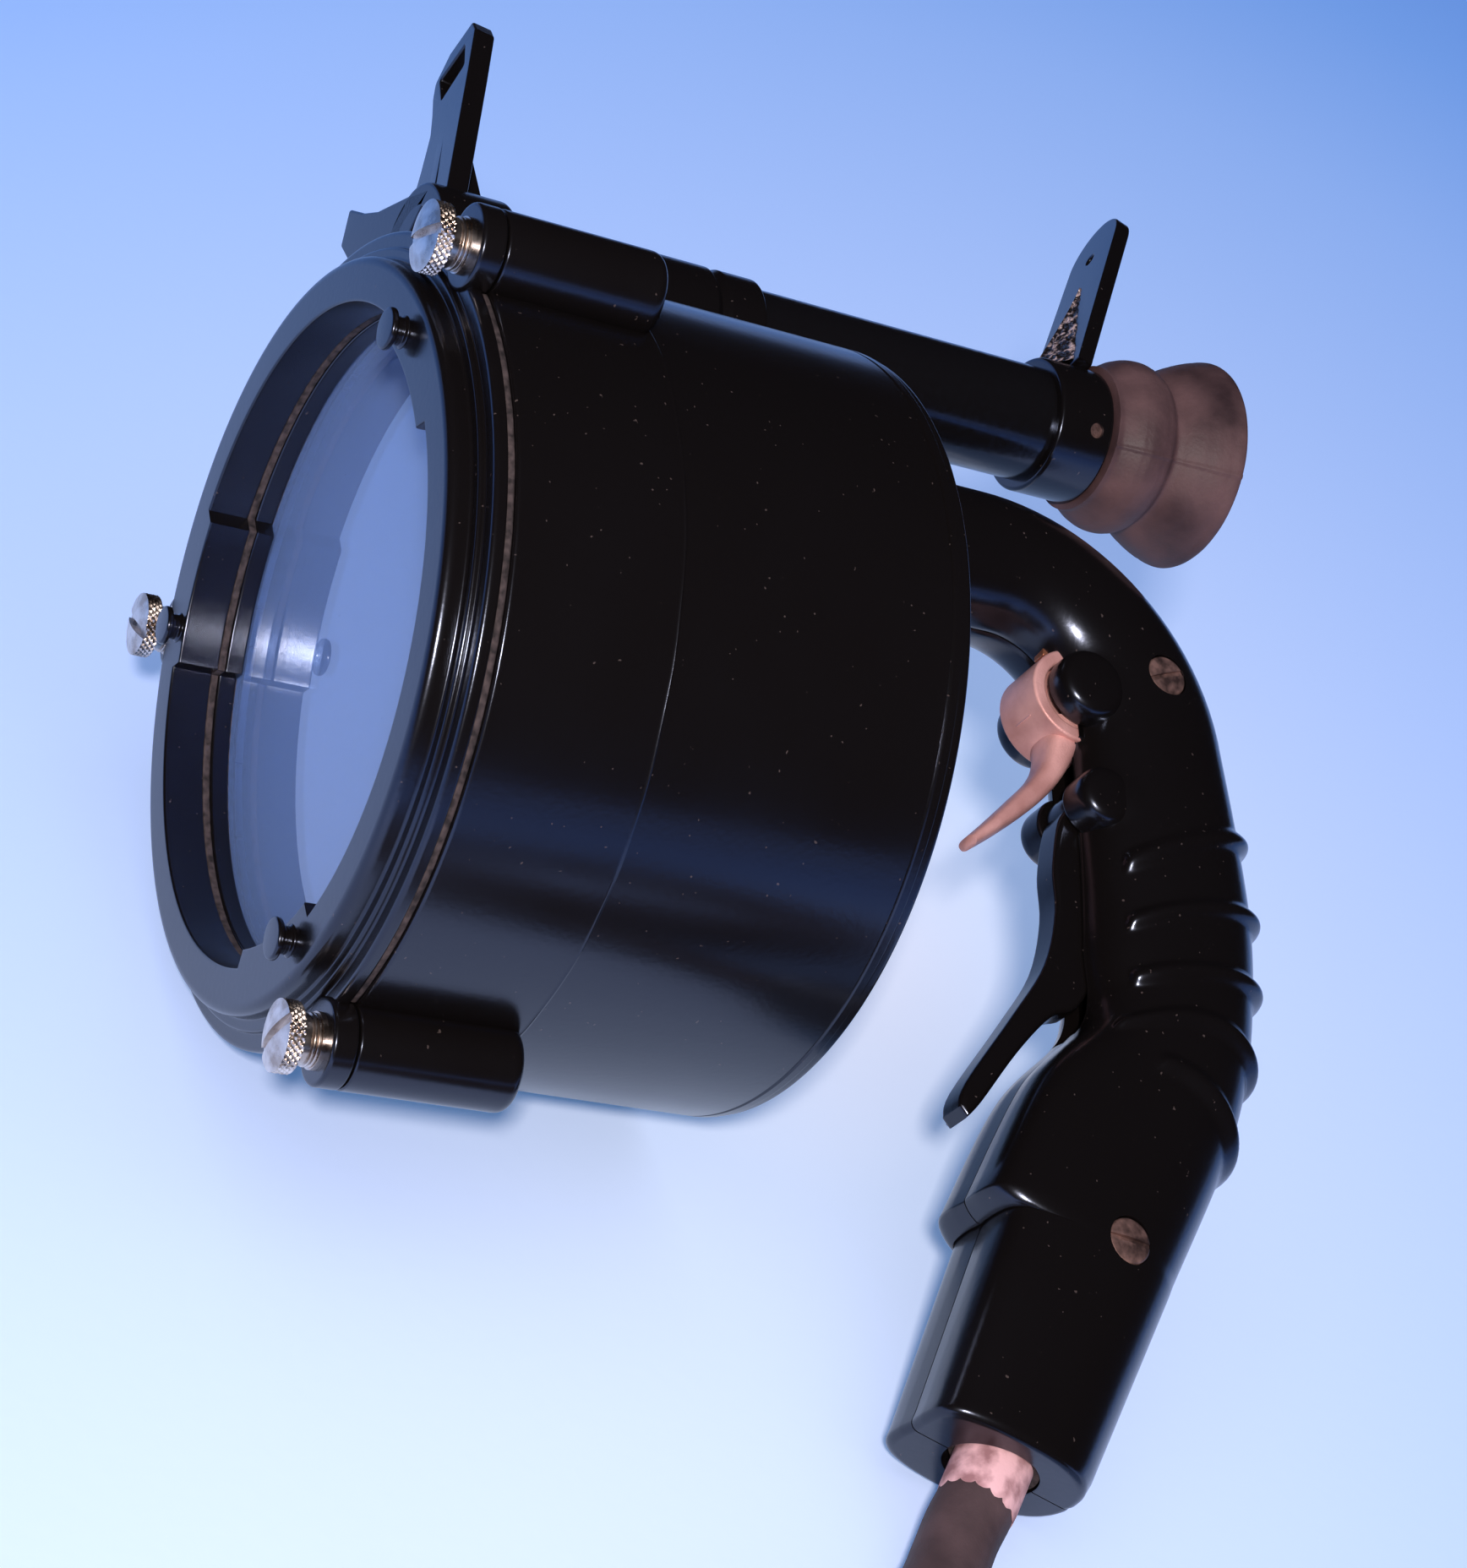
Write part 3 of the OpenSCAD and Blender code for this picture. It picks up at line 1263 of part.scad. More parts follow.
module plug_pins() {
    color([0.8, 0.65, 0.35])
        translate(plug_at)
            rotate([0, 0, end_a + 90])
                for (s = [-1, 1])
                    translate([41, s * 6, 0])
                        rotate([0, 90, 0])
                            cylinder(h = 15, r = 2.4, $fn = 32);
}

drum_casing();
drum_lugs();
rear_cover();
bezel_ring();
gasket();
front_glass();
glass_seal();
glass_retainer();
retainer_screws();
threaded_inserts();
screw_washers();
thumb_screw_1();
thumb_screw_2();
thumb_screw_3();
filter_studs();
reflector();
reflector_carrier();
reflector_bracket();
bracket_screws();
trunnion_pins();
bulb_glass();
bulb_cap();
lamp_holder();
holder_flange();
holder_screws();
front_shade();
link_rod();
crank_pin();
return_spring();
telescope_tube();
objective_lens();
eye_lens();
front_collar();
rear_collar();
collar_screws();
eyecup();
front_sight();
rear_sight();
grip_left();
grip_right();
grip_screws();
grip_nuts();
neck_screws();
trigger();
trigger_pin();
switch_lever();
lever_pin();
lever_spring();
contact_plunger();
switch_block();
switch_terminals();
cable_clamp();
clamp_screws();
cable_gland();
cable();
cable_coil();
coil_tie();
plug_body();
plug_nut();
plug_pins();
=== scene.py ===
import math

import bmesh
import bpy
from mathutils import Matrix, Vector, noise


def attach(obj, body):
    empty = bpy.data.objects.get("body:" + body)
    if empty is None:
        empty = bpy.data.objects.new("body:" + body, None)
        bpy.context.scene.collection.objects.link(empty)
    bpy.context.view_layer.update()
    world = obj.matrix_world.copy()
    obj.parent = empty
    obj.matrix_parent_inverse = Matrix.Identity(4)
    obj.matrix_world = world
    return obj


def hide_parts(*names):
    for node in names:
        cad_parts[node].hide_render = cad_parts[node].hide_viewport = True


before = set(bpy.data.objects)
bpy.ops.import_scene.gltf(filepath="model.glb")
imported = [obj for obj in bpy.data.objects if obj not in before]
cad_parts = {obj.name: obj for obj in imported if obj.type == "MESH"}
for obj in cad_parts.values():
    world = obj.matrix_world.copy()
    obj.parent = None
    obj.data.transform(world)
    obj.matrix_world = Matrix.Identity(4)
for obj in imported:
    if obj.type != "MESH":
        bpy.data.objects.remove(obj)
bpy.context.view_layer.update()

# The lamp is built upright in millimetres, beam along -Y and sights on +Z, and then laid on its side
MM = 0.001
WELD = 1e-4
ROLL = math.radians(25.6365)
PLACE = Vector((1.07991, -94.175, 73.0)) * MM
TURN = Matrix.Rotation(ROLL - math.pi / 2, 4, "Y")
LAY = Matrix.Translation(PLACE) @ TURN @ Matrix.Scale(MM, 4)

# Sizes in the lamp's own frame, as the solids have them
DRUM_R = 73.0
FRONT_Y = 0.75
REAR_Y = 85.0
COVER_Y = 87.0
OPENING_R = 59.0
TAB_R = 55.8
TAB_ANGLE = 29.0
TAB_END = 7.0
LUGS = (30.0, 150.0, 270.0)
LUG_CIRCLE = 77.2
LUG_R = 7.6
LUG_END = 31.0
FACE_Y = -8.65
FLANGE_Y = -3.2
RIM_R = 67.4
EAR_Y0 = -3.95
EAR_Y1 = 0.45
GASKET_Y = 0.75
STUD_CIRCLE = 59.7
KNOB_R = 6.25
NECK_R = 4.4
SLOT_TURNS = (52.5, 20, 84.5)
STUD_H = 3.3
TEL_Z = 89.0
TEL_R = 12.1
FRONT_COLLAR_R = 13.6
REAR_COLLAR_R = 14.3
TEL_Y0 = 20.0
TEL_Y1 = 172.0
EYE_Y = 172.5
EYE_LEN = 28.0
EYECUP_R = 22.6
SIGHT_Z = 138.4
SIGHT_T = 4.4
FOCUS_Y = 58.0
FOCAL = 17.0
TRIGGER_AT = (158.0, 19.5)
LEVER_AT = (158.5, -5.0)
GRIP_SCREWS = ((174.8, 23.5), (146.4, -99.5))
HEEL_EXIT = Vector((0, 120.45, -139.5))
CABLE_DIR = Vector((0, -0.507, -0.862))
CABLE_R = 7.0


# Helpers for meshes

def link(name, mesh, material, body, replaced=(), sharp=35.0):
    """A mesh in lamp millimetres becomes a piece that rides on a body."""
    mesh.transform(LAY)
    return place(name, mesh, material, body, replaced, sharp)


def place(name, mesh, material, body, replaced=(), sharp=35.0):
    """A mesh in the row frame, in metres, becomes a piece that rides on a body."""
    mesh.shade_smooth()
    mesh.set_sharp_from_angle(angle=math.radians(sharp))
    mesh.materials.clear()
    mesh.materials.append(material)
    piece = in_scene(name, mesh)
    even = piece.modifiers.new("even_normals", "WEIGHTED_NORMAL")
    even.keep_sharp = True
    even.weight = 80
    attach(piece, body)
    if replaced:
        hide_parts(*replaced)
    return piece


def black(name, mesh, *replaced, sharp=35.0):
    """A piece of black moulding that stands still."""
    link(name, mesh, BLACK, "lamp", replaced, sharp)


def in_scene(name, data):
    """An object in the scene that holds the data."""
    made = bpy.data.objects.new(name, data)
    bpy.context.scene.collection.objects.link(made)
    return made


def cleaned(mesh, weld=WELD, slivers=True):
    """Joins points closer than weld, drops slivers if that is asked and turns all faces outwards."""
    tidy = bmesh.new()
    tidy.from_mesh(mesh)
    bmesh.ops.remove_doubles(tidy, verts=tidy.verts, dist=weld)
    if slivers:
        bmesh.ops.dissolve_degenerate(tidy, edges=tidy.edges, dist=weld)
    bmesh.ops.recalc_face_normals(tidy, faces=tidy.faces)
    tidy.to_mesh(mesh)
    tidy.free()
    return mesh


def mesh_of(verts, faces, weld=WELD):
    """A clean mesh from points and faces, in whatever unit the points have."""
    mesh = bpy.data.meshes.new("form")
    mesh.from_pydata([tuple(v) for v in verts], [], faces)
    return cleaned(mesh, weld)


def evaluated(holder):
    """The mesh that an object comes to with its modifiers; the object goes."""
    graph = bpy.context.evaluated_depsgraph_get()
    mesh = bpy.data.meshes.new_from_object(holder.evaluated_get(graph))
    bpy.data.objects.remove(holder)
    return mesh


def joined(meshes):
    """Several meshes as one."""
    whole = bmesh.new()
    for mesh in meshes:
        whole.from_mesh(mesh)
    out = bpy.data.meshes.new("form")
    whole.to_mesh(out)
    whole.free()
    return out


def filleted(corners, steps=4):
    """A closed outline whose corners (a, b, radius) are rounded."""
    out = []
    count = len(corners)
    for i, corner in enumerate(corners):
        here = Vector(corner[:2])
        radius = corner[2] if len(corner) > 2 else 0.0
        before = Vector(corners[i - 1][:2]) - here
        after = Vector(corners[(i + 1) % count][:2]) - here
        if radius <= 0 or before.length < 1e-6 or after.length < 1e-6:
            out.append(tuple(here))
            continue
        half = before.angle(after) / 2
        reach = min(radius / math.tan(half), before.length * 0.49, after.length * 0.49) if half > 1e-3 else 0
        start = here + before.normalized() * reach
        end = here + after.normalized() * reach
        for k in range(steps + 1):
            t = k / steps
            out.append(tuple(start * (1 - t) ** 2 + here * 2 * t * (1 - t) + end * t * t))
    return out


def ring_angles(steps):
    return [2 * math.pi * k / steps for k in range(steps)]


def apart(a, b):
    """The angle between two directions, in radians."""
    return abs((a - b + math.pi) % (2 * math.pi) - math.pi)


def ease(t):
    """From 0 to 1 with a soft start and a soft end."""
    return t * t * (3 - 2 * t)


def shift(x, y, z):
    return Matrix.Translation((x, y, z))


def turn(degrees, axis):
    return Matrix.Rotation(math.radians(degrees), 4, axis)


def quads(rings, count, closed=True, endless=False):
    """Faces between rings of count points; rings may be closed, and the last may meet the first."""
    out = []
    for i in range(rings if endless else rings - 1):
        a, b = i * count, (i + 1) % rings * count
        for k in range(count if closed else count - 1):
            j = (k + 1) % count
            out.append((a + k, a + j, b + j, b + k))
    return out


def turned(outline, steps=192, swell=None):
    """A closed outline of (radius, y) turned about the beam; swell(radius, y, angle) may move a point."""
    verts = []
    for a in ring_angles(steps):
        for r, y in outline:
            if swell:
                r, y = swell(r, y, a)
            verts.append((r * math.cos(a), y, r * math.sin(a)))
    return mesh_of(verts, quads(steps, len(outline), endless=True))


def moved(mesh, matrix):
    mesh.transform(matrix)
    return mesh


def at_angle(angle, radius):
    """Place of something drawn on the beam axis, moved out to a radius at an angle round it."""
    a = math.radians(angle)
    return shift(radius * math.cos(a), 0, radius * math.sin(a)) @ turn(-angle, "Y")


def across(y, z):
    """Turns a form about the beam axis into one about a line along X through y and z."""
    return shift(0, y, z) @ turn(-90, "Z")


# a plate drawn in (y, z) stands in the lamp's middle plane
UPRIGHT = Matrix(((0, 0, 1, 0), (1, 0, 0, 0), (0, 1, 0, 0), (0, 0, 0, 1)))


def plate(outlines, thickness, edge, matrix, curve_steps=3):
    """A plate from closed outlines, later ones holes in the first, its edges rounded, its middle at z = 0."""
    curve = bpy.data.curves.new("outline", "CURVE")
    curve.dimensions = "2D"
    curve.fill_mode = "BOTH"
    curve.extrude = thickness / 2 - edge
    curve.bevel_depth = edge
    curve.bevel_resolution = curve_steps
    curve.offset = -edge
    for outline in outlines:
        spline = curve.splines.new("POLY")
        spline.points.add(len(outline) - 1)
        for point, (u, v) in zip(spline.points, outline):
            point.co = (u, v, 0, 1)
        spline.use_cyclic_u = True
    return moved(cleaned(evaluated(in_scene("outline", curve)), slivers=False), matrix)


def cut(mesh, cutters):
    """The mesh with cutters, closed meshes, taken out of it."""
    body = in_scene("body", mesh)
    tools = [in_scene("tool", cutter) for cutter in cutters]
    for tool in tools:
        step = body.modifiers.new("cut", "BOOLEAN")
        step.operation = "DIFFERENCE"
        step.solver = "EXACT"
        step.object = tool
    out = evaluated(body)
    for tool in tools:
        bpy.data.objects.remove(tool)
    return out


def block(low, high):
    verts = [(x, y, z) for x in (low[0], high[0]) for y in (low[1], high[1]) for z in (low[2], high[2])]
    faces = [(0, 1, 3, 2), (4, 6, 7, 5), (0, 4, 5, 1), (2, 3, 7, 6), (0, 2, 6, 4), (1, 5, 7, 3)]
    return mesh_of(verts, faces)


def bend4(a, b, c, d, t):
    """Between b and c at t, on the smooth curve through all four."""
    return (b * 2 + (c - a) * t + (a * 2 - b * 5 + c * 4 - d) * t * t
            + (b * 3 - a - c * 3 + d) * t ** 3) * 0.5


def at_curve(points, s):
    """The smooth curve through points, at s steps from the first."""
    last = len(points) - 1
    i = max(0, min(int(math.floor(s)), last - 1))
    pick = [points[max(i - 1, 0)], points[i], points[i + 1], points[min(i + 2, last)]]
    return bend4(*pick, s - i)


def smooth(points, steps):
    points = [Vector(p) for p in points]
    return [at_curve(points, k / steps) for k in range(steps * (len(points) - 1) + 1)]


# Materials

NOISE = "TexNoise"
CELLS = "TexVoronoi"
COOL_GLOSS = (0.66, 0.76, 1.0)


def filled(made, shader, **inputs):
    """Sets the inputs of a shader node, or links those that are given as sockets."""
    for name, value in inputs.items():
        socket = shader.inputs[name.replace("_", " ")]
        if isinstance(value, bpy.types.NodeSocket):
            made.node_tree.links.new(value, socket)
        else:
            socket.default_value = value
    return shader


def node_of(made, kind, **inputs):
    return filled(made, made.node_tree.nodes.new("ShaderNode" + kind), **inputs)


def surface(made, **inputs):
    return filled(made, made.node_tree.nodes["Principled BSDF"], **inputs)


def combined(made, operation, levels):
    """The sum or the largest of some levels."""
    out = levels[0]
    for level in levels[1:]:
        step = node_of(made, "Math")
        step.operation = operation
        made.node_tree.links.new(out, step.inputs[0])
        made.node_tree.links.new(level, step.inputs[1])
        out = step.outputs[0]
    return out


def mixed(made, factor, first, second):
    """The first shader where the factor is 0 and the second where it is 1."""
    mix = node_of(made, "MixShader", Fac=factor)
    made.node_tree.links.new(first, mix.inputs[1])
    made.node_tree.links.new(second, mix.inputs[2])
    return mix.outputs["Shader"]


def ramp_of(made, level, stops):
    """Colours over a level, from stops of a position and a colour; a new ramp has its two ends already."""
    ramp = node_of(made, "ValToRGB", Fac=level)
    elements = ramp.color_ramp.elements
    for element, (position, colour) in zip(elements, (stops[0], stops[-1])):
        element.position, element.color = position, (*colour, 1)
    for position, colour in stops[1:-1]:
        elements.new(position).color = (*colour, 1)
    return ramp.outputs["Color"]


def texture_of(made, scale, detail=4, kind=NOISE, stretch=None):
    """The level of a texture in the piece's own space, in cycles per metre."""
    source = node_of(made, "TexCoord").outputs["Object"]
    if stretch:
        source = node_of(made, "Mapping", Scale=stretch, Vector=source).outputs["Vector"]
    texture = node_of(made, kind, Scale=scale, Detail=detail, Vector=source)
    return texture.outputs["Fac" if kind == NOISE else "Distance"]


def material(name, base, rough, metallic=0.0, specular=0.5, tint=(1, 1, 1), textures=(), tone=None,
        shine=None, relief=None):
    """A Principled material. Its tone, shine and relief name their textures by number, counted from 0.

    tone: texture, dark and light colour, and the levels where they are reached
    shine: texture, roughness at level 0.3 and at level 0.7
    relief: textures, strength and depth in metres
    """
    made = bpy.data.materials.new(name)
    made.use_nodes = True
    surface(made, Base_Color=(*base, 1), Roughness=rough, Metallic=metallic, Specular_IOR_Level=specular,
            Specular_Tint=(*tint, 1))
    levels = [texture_of(made, *texture) for texture in textures]
    if tone:
        number, dark, light, low, high = tone
        surface(made, Base_Color=ramp_of(made, levels[number], ((low, dark), (high, light))))
    if shine:
        number, low, high = shine
        spread = node_of(made, "MapRange", Value=levels[number], From_Min=0.3, From_Max=0.7, To_Min=low,
                To_Max=high)
        surface(made, Roughness=spread.outputs["Result"])
    if relief:
        numbers, strength, depth = relief
        height = combined(made, "ADD", [levels[number] for number in numbers])
        bump = node_of(made, "Bump", Strength=strength, Distance=depth, Height=height)
        surface(made, Normal=bump.outputs["Normal"])
    return made


def glass(name, tint, clear_part=1.0):
    """Glass that lets light through to what is behind it; where clear_part is under 1 the rest is a diffuse
    layer in the tint, a painted reflection of the blue paper.
    """
    made = material(name, tint, 0.0)
    shader = surface(made, Transmission_Weight=clear_part, IOR=1.5)
    clear = node_of(made, "BsdfTransparent", Color=(*[0.9 * t for t in tint], 1))
    shadow = node_of(made, "LightPath").outputs["Is Shadow Ray"]
    filled(made, made.node_tree.nodes["Material Output"],
           Surface=mixed(made, shadow, shader.outputs["BSDF"], clear.outputs["BSDF"]))
    return made


def moulded(name, base, rough):
    return material(name, base, rough, textures=((800, 3),), shine=(0, rough * 0.8, rough * 1.3),
            relief=((0,), 0.06, 0.0003))


# glossy black moulding with a slight wave, fine pits and pale dust
BLACK = material("bakelite", (0.0045, 0.0035, 0.0033), 0.1, specular=0.7, tint=COOL_GLOSS,
        textures=((30, 2), (800, 2), (950, 1)),
        tone=(2, (0.0045, 0.0035, 0.0033), (0.06, 0.045, 0.04), 0.765, 0.79),
        shine=(0, 0.19, 0.25), relief=((0, 1), 0.03, 0.0006))
ENAMEL = material("enamel", (0.005, 0.0045, 0.005), 0.16, specular=0.6, tint=COOL_GLOSS, textures=((700, 3),),
        shine=(0, 0.12, 0.24), relief=((0,), 0.04, 0.0005))
GASKET = material("gasket", (0.07, 0.052, 0.05), 0.85, specular=0.25, textures=((700, 6),),
        tone=(0, (0.018, 0.014, 0.014), (0.075, 0.055, 0.053), 0.35, 0.65), relief=((0,), 0.4, 0.0003))
# matte grey-brown rubber with a bloom and fine scratches
RUBBER = material("eyecup", (0.06, 0.037, 0.037), 0.6, specular=0.3, textures=((55, 8), (1300, 4)),
        tone=(0, (0.035, 0.019, 0.021), (0.17, 0.09, 0.088), 0.3, 0.74), shine=(0, 0.45, 0.7),
        relief=((0, 1), 0.22, 0.0004))
SHEATH = material("cable_sheath", (0.045, 0.031, 0.032), 0.66, specular=0.3, textures=((110, 8), (1500, 5)),
        tone=(0, (0.05, 0.032, 0.035), (0.11, 0.068, 0.072), 0.25, 0.8),
        relief=((0, 1), 0.25, 0.0003))
# the cable's pale, chafed band where it enters the heel
CHAFED = material("cable_chafed", (0.45, 0.24, 0.25), 0.9, specular=0.2, textures=((240, 10),),
        tone=(0, (0.34, 0.17, 0.18), (0.8, 0.48, 0.5), 0.36, 0.62), relief=((0,), 0.6, 0.0005))
# worn bright plate, warm where it is thin
NICKEL = material("nickel", (0.62, 0.53, 0.47), 0.24, metallic=1.0, textures=((260, 6),),
        tone=(0, (0.4, 0.31, 0.25), (0.78, 0.7, 0.64), 0.35, 0.62), shine=(0, 0.2, 0.4),
        relief=((0,), 0.08, 0.0003))
BRASS = material("brass", (0.56, 0.4, 0.19), 0.3, metallic=1.0, textures=((300, 5),),
        tone=(0, (0.42, 0.29, 0.13), (0.66, 0.5, 0.26), 0.35, 0.65), shine=(0, 0.22, 0.42))
# screw heads with dull plating and scratches
HEADS = material("screw_heads", (0.3, 0.2, 0.17), 0.45, metallic=0.7,
        textures=((420, 8, NOISE, (1, 1, 0.25)),),
        tone=(0, (0.09, 0.055, 0.05), (0.34, 0.2, 0.17), 0.36, 0.66), shine=(0, 0.35, 0.6),
        relief=((0,), 0.3, 0.0003))
STEEL = material("steel", (0.45, 0.45, 0.46), 0.34, metallic=1.0, textures=((500, 4, NOISE, (1, 0.2, 1)),),
        shine=(0, 0.26, 0.46), relief=((0,), 0.06, 0.0003))
# satin casting, pinkish grey, darker and lighter in random patches, with a fine sandy grain
CASTING = material("trigger_casting", (0.62, 0.31, 0.28), 0.5, metallic=0.3, textures=((120, 6), (2400, 5)),
        tone=(0, (0.5, 0.23, 0.2), (0.78, 0.42, 0.38), 0.3, 0.7), shine=(0, 0.38, 0.56),
        relief=((0, 1), 0.3, 0.00035))
COPPER = material("fresh_copper", (0.75, 0.3, 0.17), 0.4, metallic=0.9, textures=((1200, 4),),
        relief=((0,), 0.2, 0.0003))
MIRROR = material("mirror", (0.42, 0.45, 0.52), 0.03, metallic=1.0, textures=((45, 5),),
        shine=(0, 0.015, 0.07))
# the pane's blue diffuse part paints the reflection of the blue paper into the glass
PANE_PAINTED_REFLECTION = glass("front_glass", (0.46, 0.64, 1.0), 0.76)
BULB = glass("bulb_glass", (0.97, 0.98, 1.0))
LENS = glass("lens_glass", (0.8, 0.88, 1.0))
# black paint, worn through on a coarse casting, on the brace of the rear sight
ROUGH_BLACK = material("painted_casting", (0.016, 0.012, 0.012), 0.22, specular=0.9, textures=((620, 3),),
        tone=(0, (0.016, 0.012, 0.012), (0.62, 0.46, 0.44), 0.5, 0.64),
        relief=((0,), 1.0, 0.0022))
PLUG = moulded("plug_moulding", (0.014, 0.012, 0.012), 0.28)
BROWN = moulded("brown_moulding", (0.08, 0.035, 0.02), 0.35)
WEBBING = material("webbing", (0.19, 0.17, 0.14), 0.9, specular=0.2, textures=((900, 2, CELLS),),
        tone=(0, (0.12, 0.1, 0.08), (0.26, 0.235, 0.195), 0.0, 0.5), relief=((0,), 0.6, 0.0005))
GREY = moulded("grey_metal", (0.42, 0.42, 0.42), 0.4)


# Camera, lights and floor

CAMERA_AT = Vector((470.81, -207.95, -306.32))
CAMERA_RIGHT = Vector((0.4868, 0.8704, -0.0737))
CAMERA_DOWN = Vector((-0.443, 0.1732, -0.8796))
CAMERA_AHEAD = Vector((-0.7529, 0.4608, 0.4699))
FOCAL_PIXELS = 4000.0
IMAGE_HEIGHT = 1856.0
SENSOR = 24.0
# the key, as right, up and behind from the camera, in metres
KEY_FROM_CAMERA = Vector((0.03, 0.09, 0.45))
KEY_SIZE, KEY_POWER, KEY_COLOUR = 0.08, 12.0, (1.0, 0.9, 0.87)
TOP_SIZE, TOP_POWER = 2.2, 6.0
FILL_COLOUR, FILL_STRENGTH = (0.85, 0.92, 1.2), 0.3
# height over the horizon, as a sine, where the pale backdrop starts to darken and where it is dark
BACKDROP_TOP = (0.01, 0.05)
BACKDROP_PALE, BACKDROP_DARK = (0.3, 0.45, 0.9), (0.006, 0.005, 0.007)
BACKDROP_STRENGTH = 0.9
# the paper: middle, turn and reach of its pale part, which is a painted pool of light, its painted glow, and
# its colours from far to near
PAINTED_POOL_AT, PAINTED_POOL_TURN, PAINTED_POOL_REACH = (-0.04, 0.07, 0), -35, (1.25, 0.55, 1.0)
PAPER_PAINTED_GLOW = (0.05, 0.13, 0.3, 1)
PAPER_HALF, PAPER_Z = 2.5, -0.0003
PAPER_COLOURS_AND_PAINTED_POOL = ((0.0, (0.2, 0.38, 0.9)), (0.18, (0.27, 0.47, 0.95)), (0.42, (0.44, 0.6, 0.97)),
        (0.7, (0.58, 0.69, 0.95)), (0.8, (0.64, 0.73, 0.93)), (0.92, (0.74, 0.82, 0.9)),
        (1.0, (1.0, 1.0, 1.0)))


def camera():
    data = bpy.data.cameras.new("camera")
    data.sensor_fit = "VERTICAL"
    data.sensor_height = SENSOR
    data.lens = FOCAL_PIXELS / IMAGE_HEIGHT * SENSOR
    data.clip_start = 0.01
    view = in_scene("camera", data)
    axes = [TURN.to_3x3() @ v for v in (CAMERA_RIGHT, -CAMERA_DOWN, -CAMERA_AHEAD)]
    view.matrix_world = Matrix.Translation(LAY @ CAMERA_AT) @ Matrix(axes).transposed().to_4x4()
    bpy.context.scene.camera = view
    return view


def area_light(name, at, target, size, power, color):
    data = bpy.data.lights.new(name, "AREA")
    data.size = size
    data.energy = power
    data.color = color
    lamp = in_scene(name, data)
    lamp.location = at
    lamp.rotation_euler = (Vector(target) - Vector(at)).to_track_quat("-Z", "Y").to_euler()
    return lamp


def lights(view):
    """A small warm key near the camera, as the photograph's flash, soft light from above and a dark room."""
    key_at = view.location + view.matrix_world.to_3x3() @ KEY_FROM_CAMERA
    area_light("key", key_at, (0.03, 0.0, 0.05), KEY_SIZE, KEY_POWER, KEY_COLOUR)
    top = area_light("top", (0.15, -0.1, 1.6), (0.0, 0.0, 0.0), TOP_SIZE, TOP_POWER, FILL_COLOUR)
    top.visible_glossy = False
    top.visible_transmission = False
    world = bpy.data.worlds.new("room")
    bpy.context.scene.world = world
    world.use_nodes = True
    soft = filled(world, world.node_tree.nodes["Background"], Color=(*FILL_COLOUR, 1), Strength=FILL_STRENGTH)
    # what gloss and glass see: pale at the floor's edge and dark above; the camera sees it pale all over
    ahead = node_of(world, "TexCoord").outputs["Generated"]
    height = node_of(world, "SeparateXYZ", Vector=ahead).outputs["Z"]
    colour = ramp_of(world, height, tuple(zip(BACKDROP_TOP, (BACKDROP_PALE, BACKDROP_DARK))))
    backdrop = node_of(world, "Background", Color=colour)
    pale = node_of(world, "Background", Color=(*BACKDROP_PALE, 1), Strength=BACKDROP_STRENGTH)
    rays = node_of(world, "LightPath").outputs
    mirrored = combined(world, "MAXIMUM", [rays["Is Glossy Ray"], rays["Is Transmission Ray"]])
    layers = mixed(world, mirrored, soft.outputs[0], backdrop.outputs[0])
    layers = mixed(world, rays["Is Camera Ray"], layers, pale.outputs[0])
    filled(world, world.node_tree.nodes["World Output"], Surface=layers)


def floor():
    """Pale blue paper with a painted pool of light, lightest in front of the lamp and deeper towards the far
    side, and a painted glow that camera, gloss and glass rays see.
    """
    made = material("paper", (0.33, 0.5, 0.96), 0.75, specular=0.1, textures=((260, 6),),
            relief=((0,), 0.12, 0.0004))
    place_at = node_of(made, "TexCoord").outputs["Object"]
    mapping = node_of(made, "Mapping")
    mapping.vector_type = "TEXTURE"
    filled(made, mapping, Vector=place_at, Location=PAINTED_POOL_AT, Rotation=(0, 0, math.radians(PAINTED_POOL_TURN)),
           Scale=PAINTED_POOL_REACH)
    gradient = node_of(made, "TexGradient", Vector=mapping.outputs["Vector"])
    gradient.gradient_type = "SPHERICAL"
    rays = node_of(made, "LightPath").outputs
    seen = [rays["Is Camera Ray"], rays["Is Glossy Ray"], rays["Is Transmission Ray"]]
    # painted pool of light in the base colour, and a painted glow for camera, gloss and glass rays
    surface(made, Base_Color=ramp_of(made, gradient.outputs["Fac"], PAPER_COLOURS_AND_PAINTED_POOL), Emission_Color=PAPER_PAINTED_GLOW,
            Emission_Strength=combined(made, "MAXIMUM", seen))
    corners = [(x * PAPER_HALF, y * PAPER_HALF, PAPER_Z) for x, y in ((-1, -1), (1, -1), (1, 1), (-1, 1))]
    mesh = mesh_of(corners, [(0, 1, 2, 3)])
    mesh.materials.append(made)
    paper = in_scene("paper", mesh)


view = camera()
lights(view)
floor()


# Cable: its free route, its coil and its tail, in the row frame in millimetres, as the solids lie

COIL_R = 80.0
COIL_PITCH = 15.2
COIL_TURNS = 3.34
COIL_START = -135.0
LAYER_RISE = 14.8
TAIL = ((12, 0), (24, 1.6), (36, 4.2), (48, 6.6), (60, 7.8), (74, 7.8))
# the free route from the exit: along X and Y from it, and height of the cable's middle over its lowest
ROUTE = ((11, -8, 1.5), (17.8, -12.7, 0.3), (24.8, -18, 0), (33.8, -27.5, 0), (43.2, -40.5, 0),
        (53.2, -55, 0))


def laid(point):
    return LAY @ Vector(point) / MM


CABLE_EXIT = laid(HEEL_EXIT)
COIL_AT = Vector((CABLE_EXIT.x + COIL_R + 58, CABLE_EXIT.y - 13, 0))


